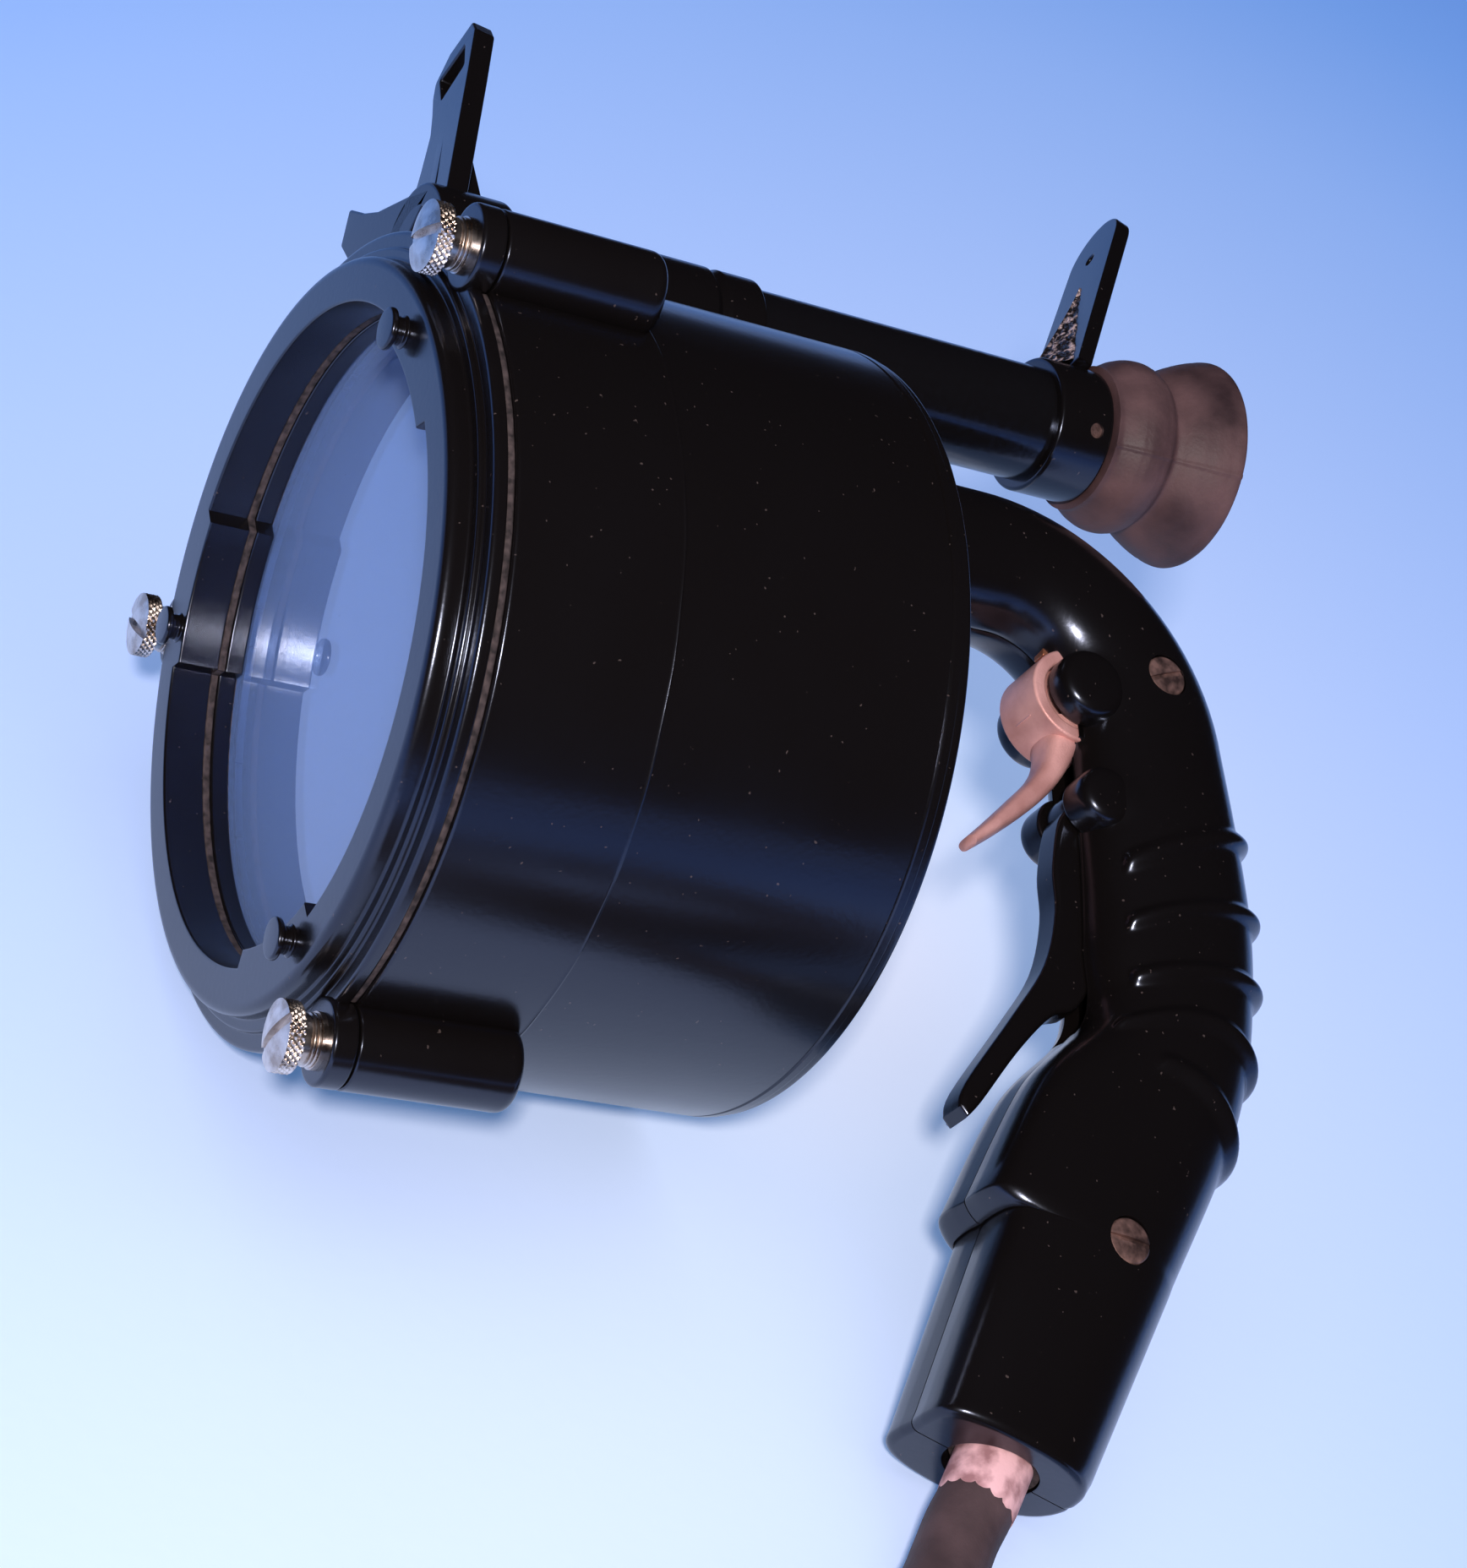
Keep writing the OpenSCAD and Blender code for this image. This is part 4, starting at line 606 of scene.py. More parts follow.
def coil_point(s):
    angle = math.radians(COIL_START + 360 * s)
    half = COIL_TURNS / 2
    u = max(0.0, min(1.0, (s - half + 0.25) / 0.5))
    r = COIL_R + COIL_PITCH * (abs(s - half) - half / 2)
    return COIL_AT + Vector((r * math.cos(angle), r * math.sin(angle), CABLE_R + LAYER_RISE * ease(u)))


def heading(angle):
    a = math.radians(angle)
    return Vector((-math.sin(a), math.cos(a), 0))


def cable_path():
    lead = [coil_point(0) - heading(COIL_START) * back for back in (18, 14)]
    route = [Vector((CABLE_EXIT.x + x, CABLE_EXIT.y + y, CABLE_R + z)) for x, y, z in ROUTE]
    free = [laid(HEEL_EXIT + CABLE_DIR * t) for t in (-12, 0, 7)] + route + lead
    path = [at_curve(free, k / 4) for k in range(4, 4 * (len(free) - 1) + 1)]
    steps = round(COIL_TURNS * 48)
    path += [coil_point(k * COIL_TURNS / steps) for k in range(steps + 1)]
    end_angle = COIL_START + 360 * COIL_TURNS
    path += [coil_point(COIL_TURNS) + heading(end_angle) * out - Vector((0, 0, drop)) for out, drop in TAIL]
    return path


def spline(name, points, radius, made, slot, body="lamp", sides=6):
    curve = bpy.data.curves.new(name, "CURVE")
    curve.dimensions = "3D"
    curve.bevel_depth = radius
    curve.bevel_resolution = sides
    curve.use_fill_caps = True
    line = curve.splines.new("POLY")
    line.points.add(len(points) - 1)
    for point, place_at in zip(line.points, points):
        point.co = (*place_at, 1)
    line.use_smooth = True
    curve.materials.append(made)
    piece = in_scene(name, curve)
    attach(piece, body)
    return piece


def tie():
    """A webbing strap round the turns of the coil, with a rounded fold at each side."""
    reach = COIL_PITCH * COIL_TURNS / 4 + CABLE_R + 1
    low, high = COIL_R - reach - 0.6, COIL_R + reach + 0.6
    top = 2 * CABLE_R + LAYER_RISE + 1.0
    outer = filleted([(low, 0.2, 4), (high, 0.2, 4), (high, top, 9), (low, top, 9)], 8)
    inner = filleted([(low + 0.9, 1.1, 3.4), (high - 0.9, 1.1, 3.4), (high - 0.9, top - 0.9, 8.2),
            (low + 0.9, top - 0.9, 8.2)], 8)
    verts, faces = [], []
    n = len(outer)
    for y in (-7.4, 7.4):
        verts += [(x, y, z) for x, z in outer] + [(x, y, z) for x, z in inner]
    for k in range(n):
        j = (k + 1) % n
        faces += [(k, j, 2 * n + j, 2 * n + k), (n + k, 3 * n + k, 3 * n + j, n + j),
                (k, n + k, n + j, j), (2 * n + k, 2 * n + j, 3 * n + j, 3 * n + k)]
    mesh = mesh_of(verts, faces)
    mesh.transform(Matrix.Scale(MM, 4) @ Matrix.Translation(COIL_AT) @ turn(60, "Z"))
    return place("tie_strap", mesh, WEBBING, "lamp", ("coil_tie",))


def cable():
    path = [p * MM for p in cable_path()]
    piece = spline("cable_lead", path, CABLE_R * MM, SHEATH, "cable_rubber")
    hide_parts("cable", "cable_coil")
    strap = tie()
    for node, made in (("plug_body", PLUG), ("plug_nut", PLUG), ("plug_pins", BRASS)):
        dress(node, made)
    # the stretch inside the heel, and the chafed sleeve at the mouth
    inside = [LAY @ (HEEL_EXIT + CABLE_DIR * t) for t in (-37, -24, -12, 0.0)]
    spline("cable_inside", inside, CABLE_R * MM, SHEATH, "cable_rubber")
    sleeve = [(CABLE_R + (0.16 if 0 < k < 8 else 0.02), -7 + 1.9 * k) for k in range(9)]
    outline = sleeve + [(CABLE_R - 0.6, sleeve[-1][1]), (CABLE_R - 0.6, sleeve[0][1])]

    def ragged(r, t, a):
        if t > 5:
            t += 0.9 * noise.noise(Vector((math.cos(a) * 2.2, math.sin(a) * 2.2, 4))) \
                + 0.4 * noise.noise(Vector((math.cos(a) * 7, math.sin(a) * 7, 1)))
        return r, t
    band = turned(outline, 96, ragged)
    along = CABLE_DIR.to_track_quat("Y", "Z").to_matrix().to_4x4()
    band = moved(band, Matrix.Translation(HEEL_EXIT) @ along)
    link("cable_chafed_band", band, CHAFED, "lamp")


def dress(node, made):
    """A CAD node keeps its shape and gets a material."""
    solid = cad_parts[node]
    solid.data.materials.clear()
    solid.data.materials.append(made)
    solid.data.shade_smooth()


cable()


# Drum and bezel

RIM_STEPS = 540
# knurling: teeth round the head, length along it of one diamond, and depth
TEETH, DIAMOND, TOOTH_DEPTH = 30, 1.3, 0.42


def tab_radius(r, a):
    """Radius of the inner wall at an angle: in the three tabs it comes inwards."""
    if r > OPENING_R + 0.8:
        return r
    for lug in LUGS:
        off = apart(a, math.radians(lug + TAB_END - TAB_ANGLE / 2)) * OPENING_R
        half = math.radians(TAB_ANGLE / 2) * OPENING_R
        if off < half + 0.4:
            return r - (OPENING_R - TAB_R) * ease(max(0.0, min(1.0, (half + 0.4 - off) / 0.8)))
    return r


def at_lugs(outline, steps, circle):
    """Three turned pieces, one at the angle of each lug."""
    return [moved(turned(outline, steps), at_angle(angle, circle)) for angle in LUGS]


def drum():
    """Casing with its moulding line, three lugs with rounded ends and the pad under the telescope."""
    seam = LUG_END
    outline = filleted([
        (OPENING_R, FRONT_Y, 0.5), (DRUM_R, FRONT_Y, 0.7), (DRUM_R, seam - 0.5, 0),
        (DRUM_R + 0.23, seam - 0.05, 0), (DRUM_R + 0.23, seam + 0.05, 0), (DRUM_R - 0.04, seam + 0.5, 0),
        (DRUM_R - 0.04, REAR_Y - 2.4, 0),
        (DRUM_R - 0.5, REAR_Y - 2.0, 0), (DRUM_R - 0.04, REAR_Y - 1.6, 0), (DRUM_R - 0.04, REAR_Y, 0.3),
        (DRUM_R - 4, REAR_Y, 0), (DRUM_R - 4, 9.8, 0), (64, 9.8, 0), (64, 4.25, 0), (OPENING_R, 4.25, 0.4)])

    def shaped(r, y, a):
        if abs(y - seam) < 0.6 and r > DRUM_R - 1:
            r += 0.05 * noise.noise(Vector((a * 9, 0, 3)))
            y += 0.35 * noise.noise(Vector((a * 5, 2, 0)))
        return tab_radius(r, a), y
    lug = filleted([(0, FRONT_Y, 0), (LUG_R, FRONT_Y, 0.5), (LUG_R, LUG_END, 2.2), (0, LUG_END, 0)], 8)
    parts = [turned(outline, RIM_STEPS, shaped)] + at_lugs(lug, 96, LUG_CIRCLE)
    pad = filleted([(-9, 68, 1), (9, 68, 1), (9, 84, 1.5), (-9, 84, 1.5)], 4)
    parts.append(plate([pad], 9, 0.8, Matrix(((1, 0, 0, 0), (0, 0, 1, 75), (0, 1, 0, 0), (0, 0, 0, 1)))))
    black("casing", joined(parts), "drum_casing", "drum_lugs")


def cover():
    r = DRUM_R - 0.4
    outline = filleted([(0, REAR_Y, 0), (r, REAR_Y, 0.2), (r, COVER_Y, 1.5), (0, COVER_Y, 0)], 6)
    black("cover", turned(outline, 256), "rear_cover")


def bezel():
    """Ring with a raised rim, a stepped flange, tabs at its opening and ears for the screws."""
    outline = filleted([
        (OPENING_R, FACE_Y, 0.5), (RIM_R, FACE_Y, 2.2), (RIM_R, FLANGE_Y - 1.3, 0.7),
        (RIM_R + 2.3, FLANGE_Y - 1.3, 0.8), (RIM_R + 2.3, FLANGE_Y, 0.5), (DRUM_R, FLANGE_Y, 1.0),
        (DRUM_R, -GASKET_Y, 0.5), (OPENING_R, -GASKET_Y, 0.4)], 6)
    ear = filleted([(2.9, EAR_Y0, 0), (LUG_R, EAR_Y0, 0.8), (LUG_R, EAR_Y1, 0.5), (2.9, EAR_Y1, 0)], 5)
    ring = turned(outline, RIM_STEPS, lambda r, y, a: (tab_radius(r, a), y))
    parts = [ring] + at_lugs(ear, 96, LUG_CIRCLE)
    black("bezel", joined(parts), "bezel_ring")


def gasket():
    outline = filleted([(OPENING_R + 0.2, -GASKET_Y, 0.4), (72.35, -GASKET_Y, 0.6), (72.35, GASKET_Y, 0.6),
            (OPENING_R + 0.2, GASKET_Y, 0.4)])

    def uneven(r, y, a):
        for lug in LUGS:
            off = apart(a, math.radians(lug)) * LUG_CIRCLE
            if r > 66 and off < LUG_R + 0.1:
                r = min(r, LUG_CIRCLE - math.sqrt((LUG_R + 0.1) ** 2 - off ** 2))
        if r > 70:
            r += 0.12 * noise.noise(Vector((a * 12, y, 0)))
        return tab_radius(r, a) if r < OPENING_R + 0.8 else r, y
    link("gasket_ring", turned(outline, RIM_STEPS, uneven), GASKET, "lamp", ("gasket",))


def pane():
    outline = filleted([(0, 4.75, 0), (62.4, 4.75, 0.4), (62.4, 7.75, 0.4), (0, 7.75, 0)])
    link("pane", turned(outline, 192), PANE_PAINTED_REFLECTION, "lamp", ("front_glass",), 30)


def knurl(r, y, a, low, high, radius):
    """Diamond knurling on a band between low and high."""
    if not low < y < high or r < radius - 0.5:
        return r, y
    lead = a * TEETH / (2 * math.pi)
    climb = (y - low) / DIAMOND
    u = abs((lead + climb) % 1 - 0.5) * 2
    v = abs((lead - climb) % 1 - 0.5) * 2
    return r - TOOTH_DEPTH * max(u, v) ** 1.5, y


def thumb_screw(index, angle):
    """Knurled head with a domed, slotted face, a neck with two rings and a plain shank."""
    neck_y1 = EAR_Y0 - 0.9
    neck_y0 = neck_y1 - 3.4
    head_y0 = neck_y0 - 3.1
    radius = KNOB_R
    dome = [(radius * 0.93 * k / 8, head_y0 - 0.8 * (1 - (k / 8) ** 2)) for k in range(9)]
    band = [(radius - 0.1, head_y0 + 0.12)] + [(radius, head_y0 + 0.25 + 2.6 * k / 22) for k in range(23)] \
        + [(radius - 0.2, neck_y0 - 0.05)]
    neck = filleted([(NECK_R + 0.7, neck_y0, 0.2), (NECK_R, neck_y0, 0.5), (NECK_R, neck_y1 - 1.7, 0.1),
            (NECK_R - 0.4, neck_y1 - 1.5, 0.1), (NECK_R + 0.2, neck_y1 - 1.25, 0.15),
            (NECK_R + 0.2, neck_y1 - 0.85, 0.15), (NECK_R - 0.3, neck_y1 - 0.7, 0.1),
            (NECK_R + 0.2, neck_y1 - 0.5, 0.15), (NECK_R + 0.2, neck_y1 - 0.06, 0.1),
            (2.5, neck_y1 - 0.06, 0), (2.5, 17.7, 0), (1.7, 18.7, 0), (0, 18.7, 0)], 3)
    low, high = head_y0 + 0.2, neck_y0 - 0.2
    mesh = turned(dome + band + neck, 288, lambda r, y, a: knurl(r, y, a, low, high, radius))
    mesh = cut(mesh, [block((-10, head_y0 - 2, -0.9), (10, head_y0 + 0.5, 0.9))])
    mesh.transform(at_angle(angle, LUG_CIRCLE) @ turn(SLOT_TURNS[index], "Y"))
    node = "thumb_screw_%d" % (index + 1)
    link("knurled_screw_%d" % (index + 1), mesh, NICKEL, node, (node,), 40)


def studs():
    """Three black spools on the bezel for a filter."""
    top = FACE_Y - STUD_H
    outline = filleted([(0, top, 0), (3.7, top, 0.6), (3.7, top + 1.1, 0.4), (2.4, top + 1.5, 0.3),
            (2.4, top + 2.0, 0), (2.62, top + 2.15, 0.1), (2.4, top + 2.3, 0), (2.4, FACE_Y - 0.5, 0.2),
            (2.9, FACE_Y - 0.1, 0.2), (3.0, FACE_Y + 1, 0), (0, FACE_Y + 1, 0)], 5)
    spools = joined(at_lugs(outline, 72, STUD_CIRCLE))
    black("stud_spools", spools, "filter_studs")


drum()
cover()
bezel()
gasket()
pane()
for number, lug_angle in enumerate(LUGS):
    thumb_screw(number, lug_angle)
studs()


# Reflector and bulb

def dish():
    """Paraboloid mirror with a rolled rim, from the bulb's hole to the rim."""
    hole, reach, rim, wall, steps = 13, 50, 53, 1.6, 36
    rim_y = FOCUS_Y + FOCAL - reach ** 2 / (4 * FOCAL)
    radii = [hole + (reach - hole) * k / steps for k in range(steps + 1)]
    inner = [(r, FOCUS_Y + FOCAL - r * r / (4 * FOCAL)) for r in radii]
    outer = [(r, y + wall) for r, y in reversed(inner)]
    outline = inner + filleted([(reach, rim_y, 0), (rim, rim_y, 0.7), (rim, rim_y + wall, 0.7),
            (reach, rim_y + wall, 0)]) + outer
    link("dish", turned(outline, 256), MIRROR, "reflector", ("reflector",), 50)


def bulb():
    centre = FOCUS_Y - 6
    outline = [(0, centre - 9)] + [(9 * math.cos(math.radians(a)), centre + 9 * math.sin(math.radians(a)))
            for a in range(-86, 50, 4)] + [(4.4, FOCUS_Y + 3.9), (0, FOCUS_Y + 3.9)]
    link("bulb", turned(outline, 96), BULB, "lamp", ("bulb_glass",), 40)


dish()
bulb()


# Telescope and sights

def on_telescope(mesh):
    return moved(mesh, shift(0, 0, TEL_Z))


def telescope():
    tube = filleted([(10.6, TEL_Y0, 0.3), (TEL_R, TEL_Y0, 0.4), (TEL_R, TEL_Y1, 0), (10.6, TEL_Y1, 0)])
    link("tube", on_telescope(turned(tube, 128)), ENAMEL, "lamp", ("telescope_tube",))
    r = FRONT_COLLAR_R
    front = filleted([(TEL_R, 65, 0), (r, 65, 0.8), (r, 78, 0.3), (r - 1.2, 79.5, 0.3), (r, 81, 0.3),
            (r, 89, 0.8), (TEL_R, 89, 0)])
    hole = turned([(0, 0), (2.3, 0), (2.3, 6), (0, 6)], 32)
    hole.transform(shift(0, 85, TEL_Z + TEL_R + 0.1) @ turn(90, "X"))
    collar = cut(on_telescope(turned(front, 128)), [hole])
    black("collar_front", collar, "front_collar")
    rear = filleted([(TEL_R, 159, 0), (REAR_COLLAR_R, 159, 0.9), (REAR_COLLAR_R, 172, 0.6), (TEL_R, 172, 0)])
    dimple = turned([(0, 0), (1.6, 0), (1.6, 5), (0, 5)], 32)
    dimple.transform(shift(0, 168, TEL_Z) @ turn(120, "Y") @ shift(0, 0, REAR_COLLAR_R - 0.8) @ turn(90, "X"))
    collar = cut(on_telescope(turned(rear, 128)), [dimple])
    black("collar_rear", collar, "rear_collar")


def eyecup():
    """Rubber cup: neck, round bulge, waist and flare, with the thin lines of its mould."""
    outer = [(0.688, 0.0), (0.70, 0.06), (0.745, 0.13), (0.795, 0.2), (0.822, 0.28), (0.82, 0.37),
            (0.79, 0.44), (0.745, 0.485), (0.735, 0.52), (0.785, 0.58), (0.865, 0.68), (0.93, 0.79),
            (0.975, 0.89), (0.997, 0.965), (0.988, 0.995)]
    inner = [(0.945, 0.995), (0.913, 0.92), (0.84, 0.8), (0.715, 0.62), (0.633, 0.5), (0.697, 0.34),
            (0.587, 0.14)]
    skin = smooth([(r * EYECUP_R, EYE_Y + t * EYE_LEN, 0) for r, t in outer], 4)
    hollow = smooth([(r * EYECUP_R, EYE_Y + t * EYE_LEN, 0) for r, t in inner], 3)
    outline = [(9, EYE_Y)] + [(p.x, p.y) for p in skin] + [(p.x, p.y) for p in hollow] + [(9, EYE_Y + 2.5)]
    seams = (math.radians(-38), math.radians(142))

    def seamed(r, y, a):
        for seam in seams:
            if apart(a, seam) * 18 < 0.3 and r > 14.5:
                r += 0.22
        if r > 14.5:
            r += 0.1 * noise.noise(Vector((3 * math.cos(a), 3 * math.sin(a), y * 0.12)))
            r -= 0.12 * max(0.0, math.sin(math.pi * (y - EYE_Y) / 2.4)) ** 8
        return r, y
    cup = on_telescope(turned(outline, 320, seamed))
    link("eyecup_rubber", cup, RUBBER, "lamp", ("eyecup",), 60)


def tilted(y, z, lean):
    """Puts a plate drawn in (x, up) at a point of the middle plane, leaning to the rear."""
    return shift(0, y, z) @ turn(90 - lean, "X")


def front_sight():
    """Window blade, its web, the ring round the tube and the wing at its side."""
    w, t = 9.5, 8.0
    foot_y = 18.0
    lean = 10
    window_y = foot_y + 4 + (SIGHT_Z - TEL_Z - 11) * math.tan(math.radians(lean))
    blade = filleted([(-w * 0.35, t, 0.8), (w * 0.75, t, 0.8), (w, t - 4, 1.5), (w, -8, 3),
            (w * 0.95, -24, 3), (w * 0.9, -40, 0), (-w * 1.4, -40, 0), (-w * 1.3, -30, 4),
            (-w * 0.95, -20, 4), (-w * 0.75, -12, 3), (-w * 0.85, -6, 3), (-w, 0, 2),
            (-w, t - 3.5, 1.5)], 4)
    window = filleted([(-w * 0.72, 3.5, 0.5), (w * 0.5, 3.5, 0.5), (w * 0.66, -3.2, 0.5),
            (-w * 0.4, -4.4, 0.5)], 3)
    stand = tilted(window_y, SIGHT_Z, lean) @ shift(0, 0, -SIGHT_T / 2)
    parts = [plate([blade, window], SIGHT_T, 0.5, stand)]
    web = filleted([(window_y - 2.2, SIGHT_Z - 13, 0.3), (window_y + 1.2, SIGHT_Z - 13, 0.5),
            (foot_y + 16, TEL_Z + TEL_R + 0.6, 2), (foot_y + 4, TEL_Z + TEL_R + 0.6, 0)], 3)
    parts.append(plate([web], 4, 0.6, UPRIGHT))
    ring = filleted([(10.2, foot_y, 0.5), (TEL_R + 3, foot_y, 0.8), (TEL_R + 3, foot_y + 16, 1.2),
            (10.2, foot_y + 16, 0)])
    parts.append(on_telescope(turned(ring, 128)))
    wing = filleted([(10, 10, 0), (1, 14.6, 2), (-7.8, 18.6, 2), (-14, 21.4, 3), (-20.6, 25.7, 3),
            (-27.2, 31.3, 0.8), (-32, 25.3, 0.8), (-28.5, 19.2, 2), (-20, 9, 3), (-12, 2, 0)], 3)
    parts.append(plate([wing], 4, 0.5, shift(0, foot_y + 2, TEL_Z) @ turn(90, "X")))
    black("sight_front", joined(parts), "front_sight")


def rear_sight():
    """Leaf with a round top and a peep hole, and its brace with a rough face and a ridge up its middle."""
    base_z = TEL_Z + REAR_COLLAR_R
    base_y = TEL_Y1 - 2.5
    lean = 23
    h = (SIGHT_Z - base_z) / math.cos(math.radians(lean))
    middle, round_r = h + 2.2, 9.2
    thick = 0.8 * SIGHT_T
    half_turn = [math.radians(a) for a in range(0, 181, 6)]
    top = [(round_r * math.cos(a), middle + round_r * math.sin(a)) for a in half_turn]
    leaf = [(-11, -2.8), (11, -2.8)] + top
    peep = [(1.25 * math.cos(a), h + 1.25 * math.sin(a)) for a in ring_angles(20)]
    stand = tilted(base_y, base_z, lean)
    face = 0.3 * SIGHT_T
    leaf = plate([leaf, peep], thick, 0.5, stand @ shift(0, 0, face - thick / 2))
    black("sight_rear", leaf, "rear_sight")
    rows, columns = 30, 27
    verts = []
    for i in range(rows + 1):
        up = i / rows
        half = 8.6 * (1 - up) + 0.3
        for k in range(columns):
            u = 2 * k / (columns - 1) - 1
            out = face - 0.2 + 4.6 * (1 - up) ** 1.3 * (1 - abs(u) ** 1.2)
            if abs(u) < 0.05:
                out += 0.5
            elif abs(u) < 0.97:
                out += 0.55 * noise.noise(Vector((k * 0.55, i * 0.8, 0)))
                out += 0.3 * noise.noise(Vector((k * 1.3, i * 1.9, 5)))
            verts.append((u * half, -1.5 + 30 * up, out if abs(u) < 1 else face - 0.3))
    brace = moved(mesh_of(verts, quads(rows + 1, columns, closed=False)), stand)
    link("sight_brace", brace, ROUGH_BLACK, "lamp", (), 80)


telescope()
eyecup()
front_sight()
rear_sight()


# Grip

BEND_C = Vector((138, 9.5))
BEND_R = 54.5
INNER_C = Vector((142, 19))
INNER_R = 15.0
LOW_FRONT = [Vector(p) for p in ((157, 19), (156, 0), (154.5, -20), (152.6, -36), (150.6, -51),
        (136.5, -65.2), (121.2, -89.4))]
LOW_BACK = [Vector(p) for p in ((192.5, 9.5), (193.3, -8.8), (193.2, -26.8), (190.9, -42.8), (186, -61.1),
        (178.2, -78.6), (162.6, -103.5))]
LOW_W = [14.9, 15.1, 15.3, 15.4, 15.4, 15.2, 14.9]
STEP_FRONT, STEP_BACK = Vector((124.4, -93.6)), Vector((160.4, -107))
HEEL_FRONT, HEEL_BACK = Vector((104.5, -133.2)), Vector((136.4, -145.8))
HEEL_W = 14.0
HEEL_ROUND = 1.6
RIB_H = 2.0
RIB_HALF = 0.16
RIB_END = 0.035
# the ribs: place at the back seam, slope and bow across the side, and how far across they reach
RIBS = ((1, 1.12, 0.04, 0.87), (2, 0.93, 0.12, 0.87), (3, 0.66, 0.125, 0.87), (4, 0.41, 0.39, 0.9),
        (5, -0.1, 0.4, 0.62))
NO_RIBS = -9
TRIGGER_SLOT, LEVER_SLOT = 6.8, 3.8
WALL = 3.0
SEAM = 0.14
ROUNDNESS = 2.3


def rib(s, ahead):
    """Height of the ribs, 0 to 1: rounded bands that slope towards the front, ahead from 0 to 1 across."""
    for at, slope, bow, stop in RIBS:
        d = abs(s - at - slope * ahead + bow * 4 * ahead * (1 - ahead)) / RIB_HALF
        if d < 1 and ahead < stop:
            return (0.5 + 0.5 * math.cos(math.pi * d)) ** 0.75 * min(1.0, (stop - ahead) / RIB_END) ** 0.5
    return 0.0


def stations():
    """Along the grip: front, back, half width, place among the ribs, slot half width, boxiness."""
    out = [(Vector((COVER_Y, 34.0)), Vector((COVER_Y, 64.0)), 14.3, NO_RIBS, SEAM, 0)]
    for k in range(25):
        a = math.radians(3.6 * k)
        direction = Vector((math.sin(a), math.cos(a)))
        slot = TRIGGER_SLOT if k > 16 else SEAM
        out.append((INNER_C + INNER_R * direction, BEND_C + BEND_R * direction, 14.3 + 0.6 * k / 25, NO_RIBS,
                slot, 0))
    close = [0.78 + 0.027 * k for k in range(165)]
    for s in [k * 0.06 for k in range(13)] + close + [5.27, 5.36, 5.5, 5.65, 5.8, 6.0]:
        width = at_curve([Vector((w, 0)) for w in LOW_W], s).x
        slot = TRIGGER_SLOT if s < 0.55 else LEVER_SLOT if s < 4.25 else SEAM
        box = min(1.0, max(0.0, (s - 3.6) / 1.6))
        out.append((at_curve(LOW_FRONT, s), at_curve(LOW_BACK, s), width, s, slot, box))
    for k in range(1, 7):
        t = k / 6
        front = LOW_FRONT[6].lerp(STEP_FRONT, ease(t)) + Vector((-0.5, -0.9)) * math.sin(math.pi * t)
        out.append((front, LOW_BACK[6].lerp(STEP_BACK, t), 14.9 - 0.1 * t, NO_RIBS, SEAM, 1))
    for k in range(1, 13):
        t = k / 13
        out.append((STEP_FRONT.lerp(HEEL_FRONT, t), STEP_BACK.lerp(HEEL_BACK, t), 14.8 - 0.8 * t,
                NO_RIBS, SEAM, 1))
    axis = (HEEL_BACK - HEEL_FRONT).normalized()
    up = Vector((-axis.y, axis.x))
    for k in range(5):
        a = math.radians(22.5 * k)
        inset = HEEL_ROUND * (1 - math.cos(a))
        slip = HEEL_ROUND * (1 - math.sin(a))
        out.append((HEEL_FRONT + axis * inset + up * slip, HEEL_BACK - axis * inset + up * slip,
                HEEL_W - inset, NO_RIBS, SEAM, 1))
    return out


def power(value, exponent):
    return math.copysign(abs(value) ** exponent, value)


def half_angles(steps):
    """Angles of a half section in degrees, from the back seam to the front seam."""
    return [180 * k / steps for k in range(steps + 1)]


def swelling(y, z):
    """How far the side of the grip stands out over the cheeks of the trigger and the lever."""
    out = 0.0
    for at, height, reach in ((TRIGGER_AT, 1.5, 8.5), (LEVER_AT, 0.9, 7.5)):
        d = math.hypot(y - at[0], z - at[1]) / reach
        if d < 1:
            out = max(out, height * (1 - d * d) ** 2)
    return out


def section(station, inset, side, steps):
    """Half section from the back seam to the front seam, as points in lamp millimetres."""
    front, back, width, at, slot, box = station
    middle = (front + back) / 2
    axis = (back - front).normalized()
    half = (back - front).length / 2 - inset
    out = []
    for degrees in half_angles(steps):
        t = math.radians(degrees)
        n = ROUNDNESS
        if t >= math.pi / 2:
            n += 1.5 * box * (1 - math.cos(2 * (t - math.pi / 2))) / 2 + 0.7 * box
        c, s = power(math.cos(t), 2 / n), power(math.sin(t), 2 / n)
        grow = 0.0
        if inset == 0 and at > 0:
            grow = RIB_H * rib(at, (1 - c) / 2) * (0.6 + 0.4 * max(0.0, math.cos(t)))
        seam = 0.3 * max(0.0, 1 - abs(width * s) / 0.9) if inset == 0 else 0
        x = max((width - inset + grow) * s, slot if degrees > 90 else SEAM)
        q = middle + axis * (half + grow - seam) * c
        if inset == 0 and x > 10:
            x += swelling(q.x, q.y)
        out.append((side * x, q.x, q.y))
    return out


def hole_section(middle, radius, side, steps):
    """Half of the round cable hole across the grip, in the plane of the heel's end."""
    axis = (HEEL_BACK - HEEL_FRONT).normalized()
    out = []
    for degrees in half_angles(steps):
        t = math.radians(degrees)
        q = middle + axis * radius * 1.02 * math.cos(t)
        out.append((side * max(radius * math.sin(t), SEAM), q.x, q.y))
    return out


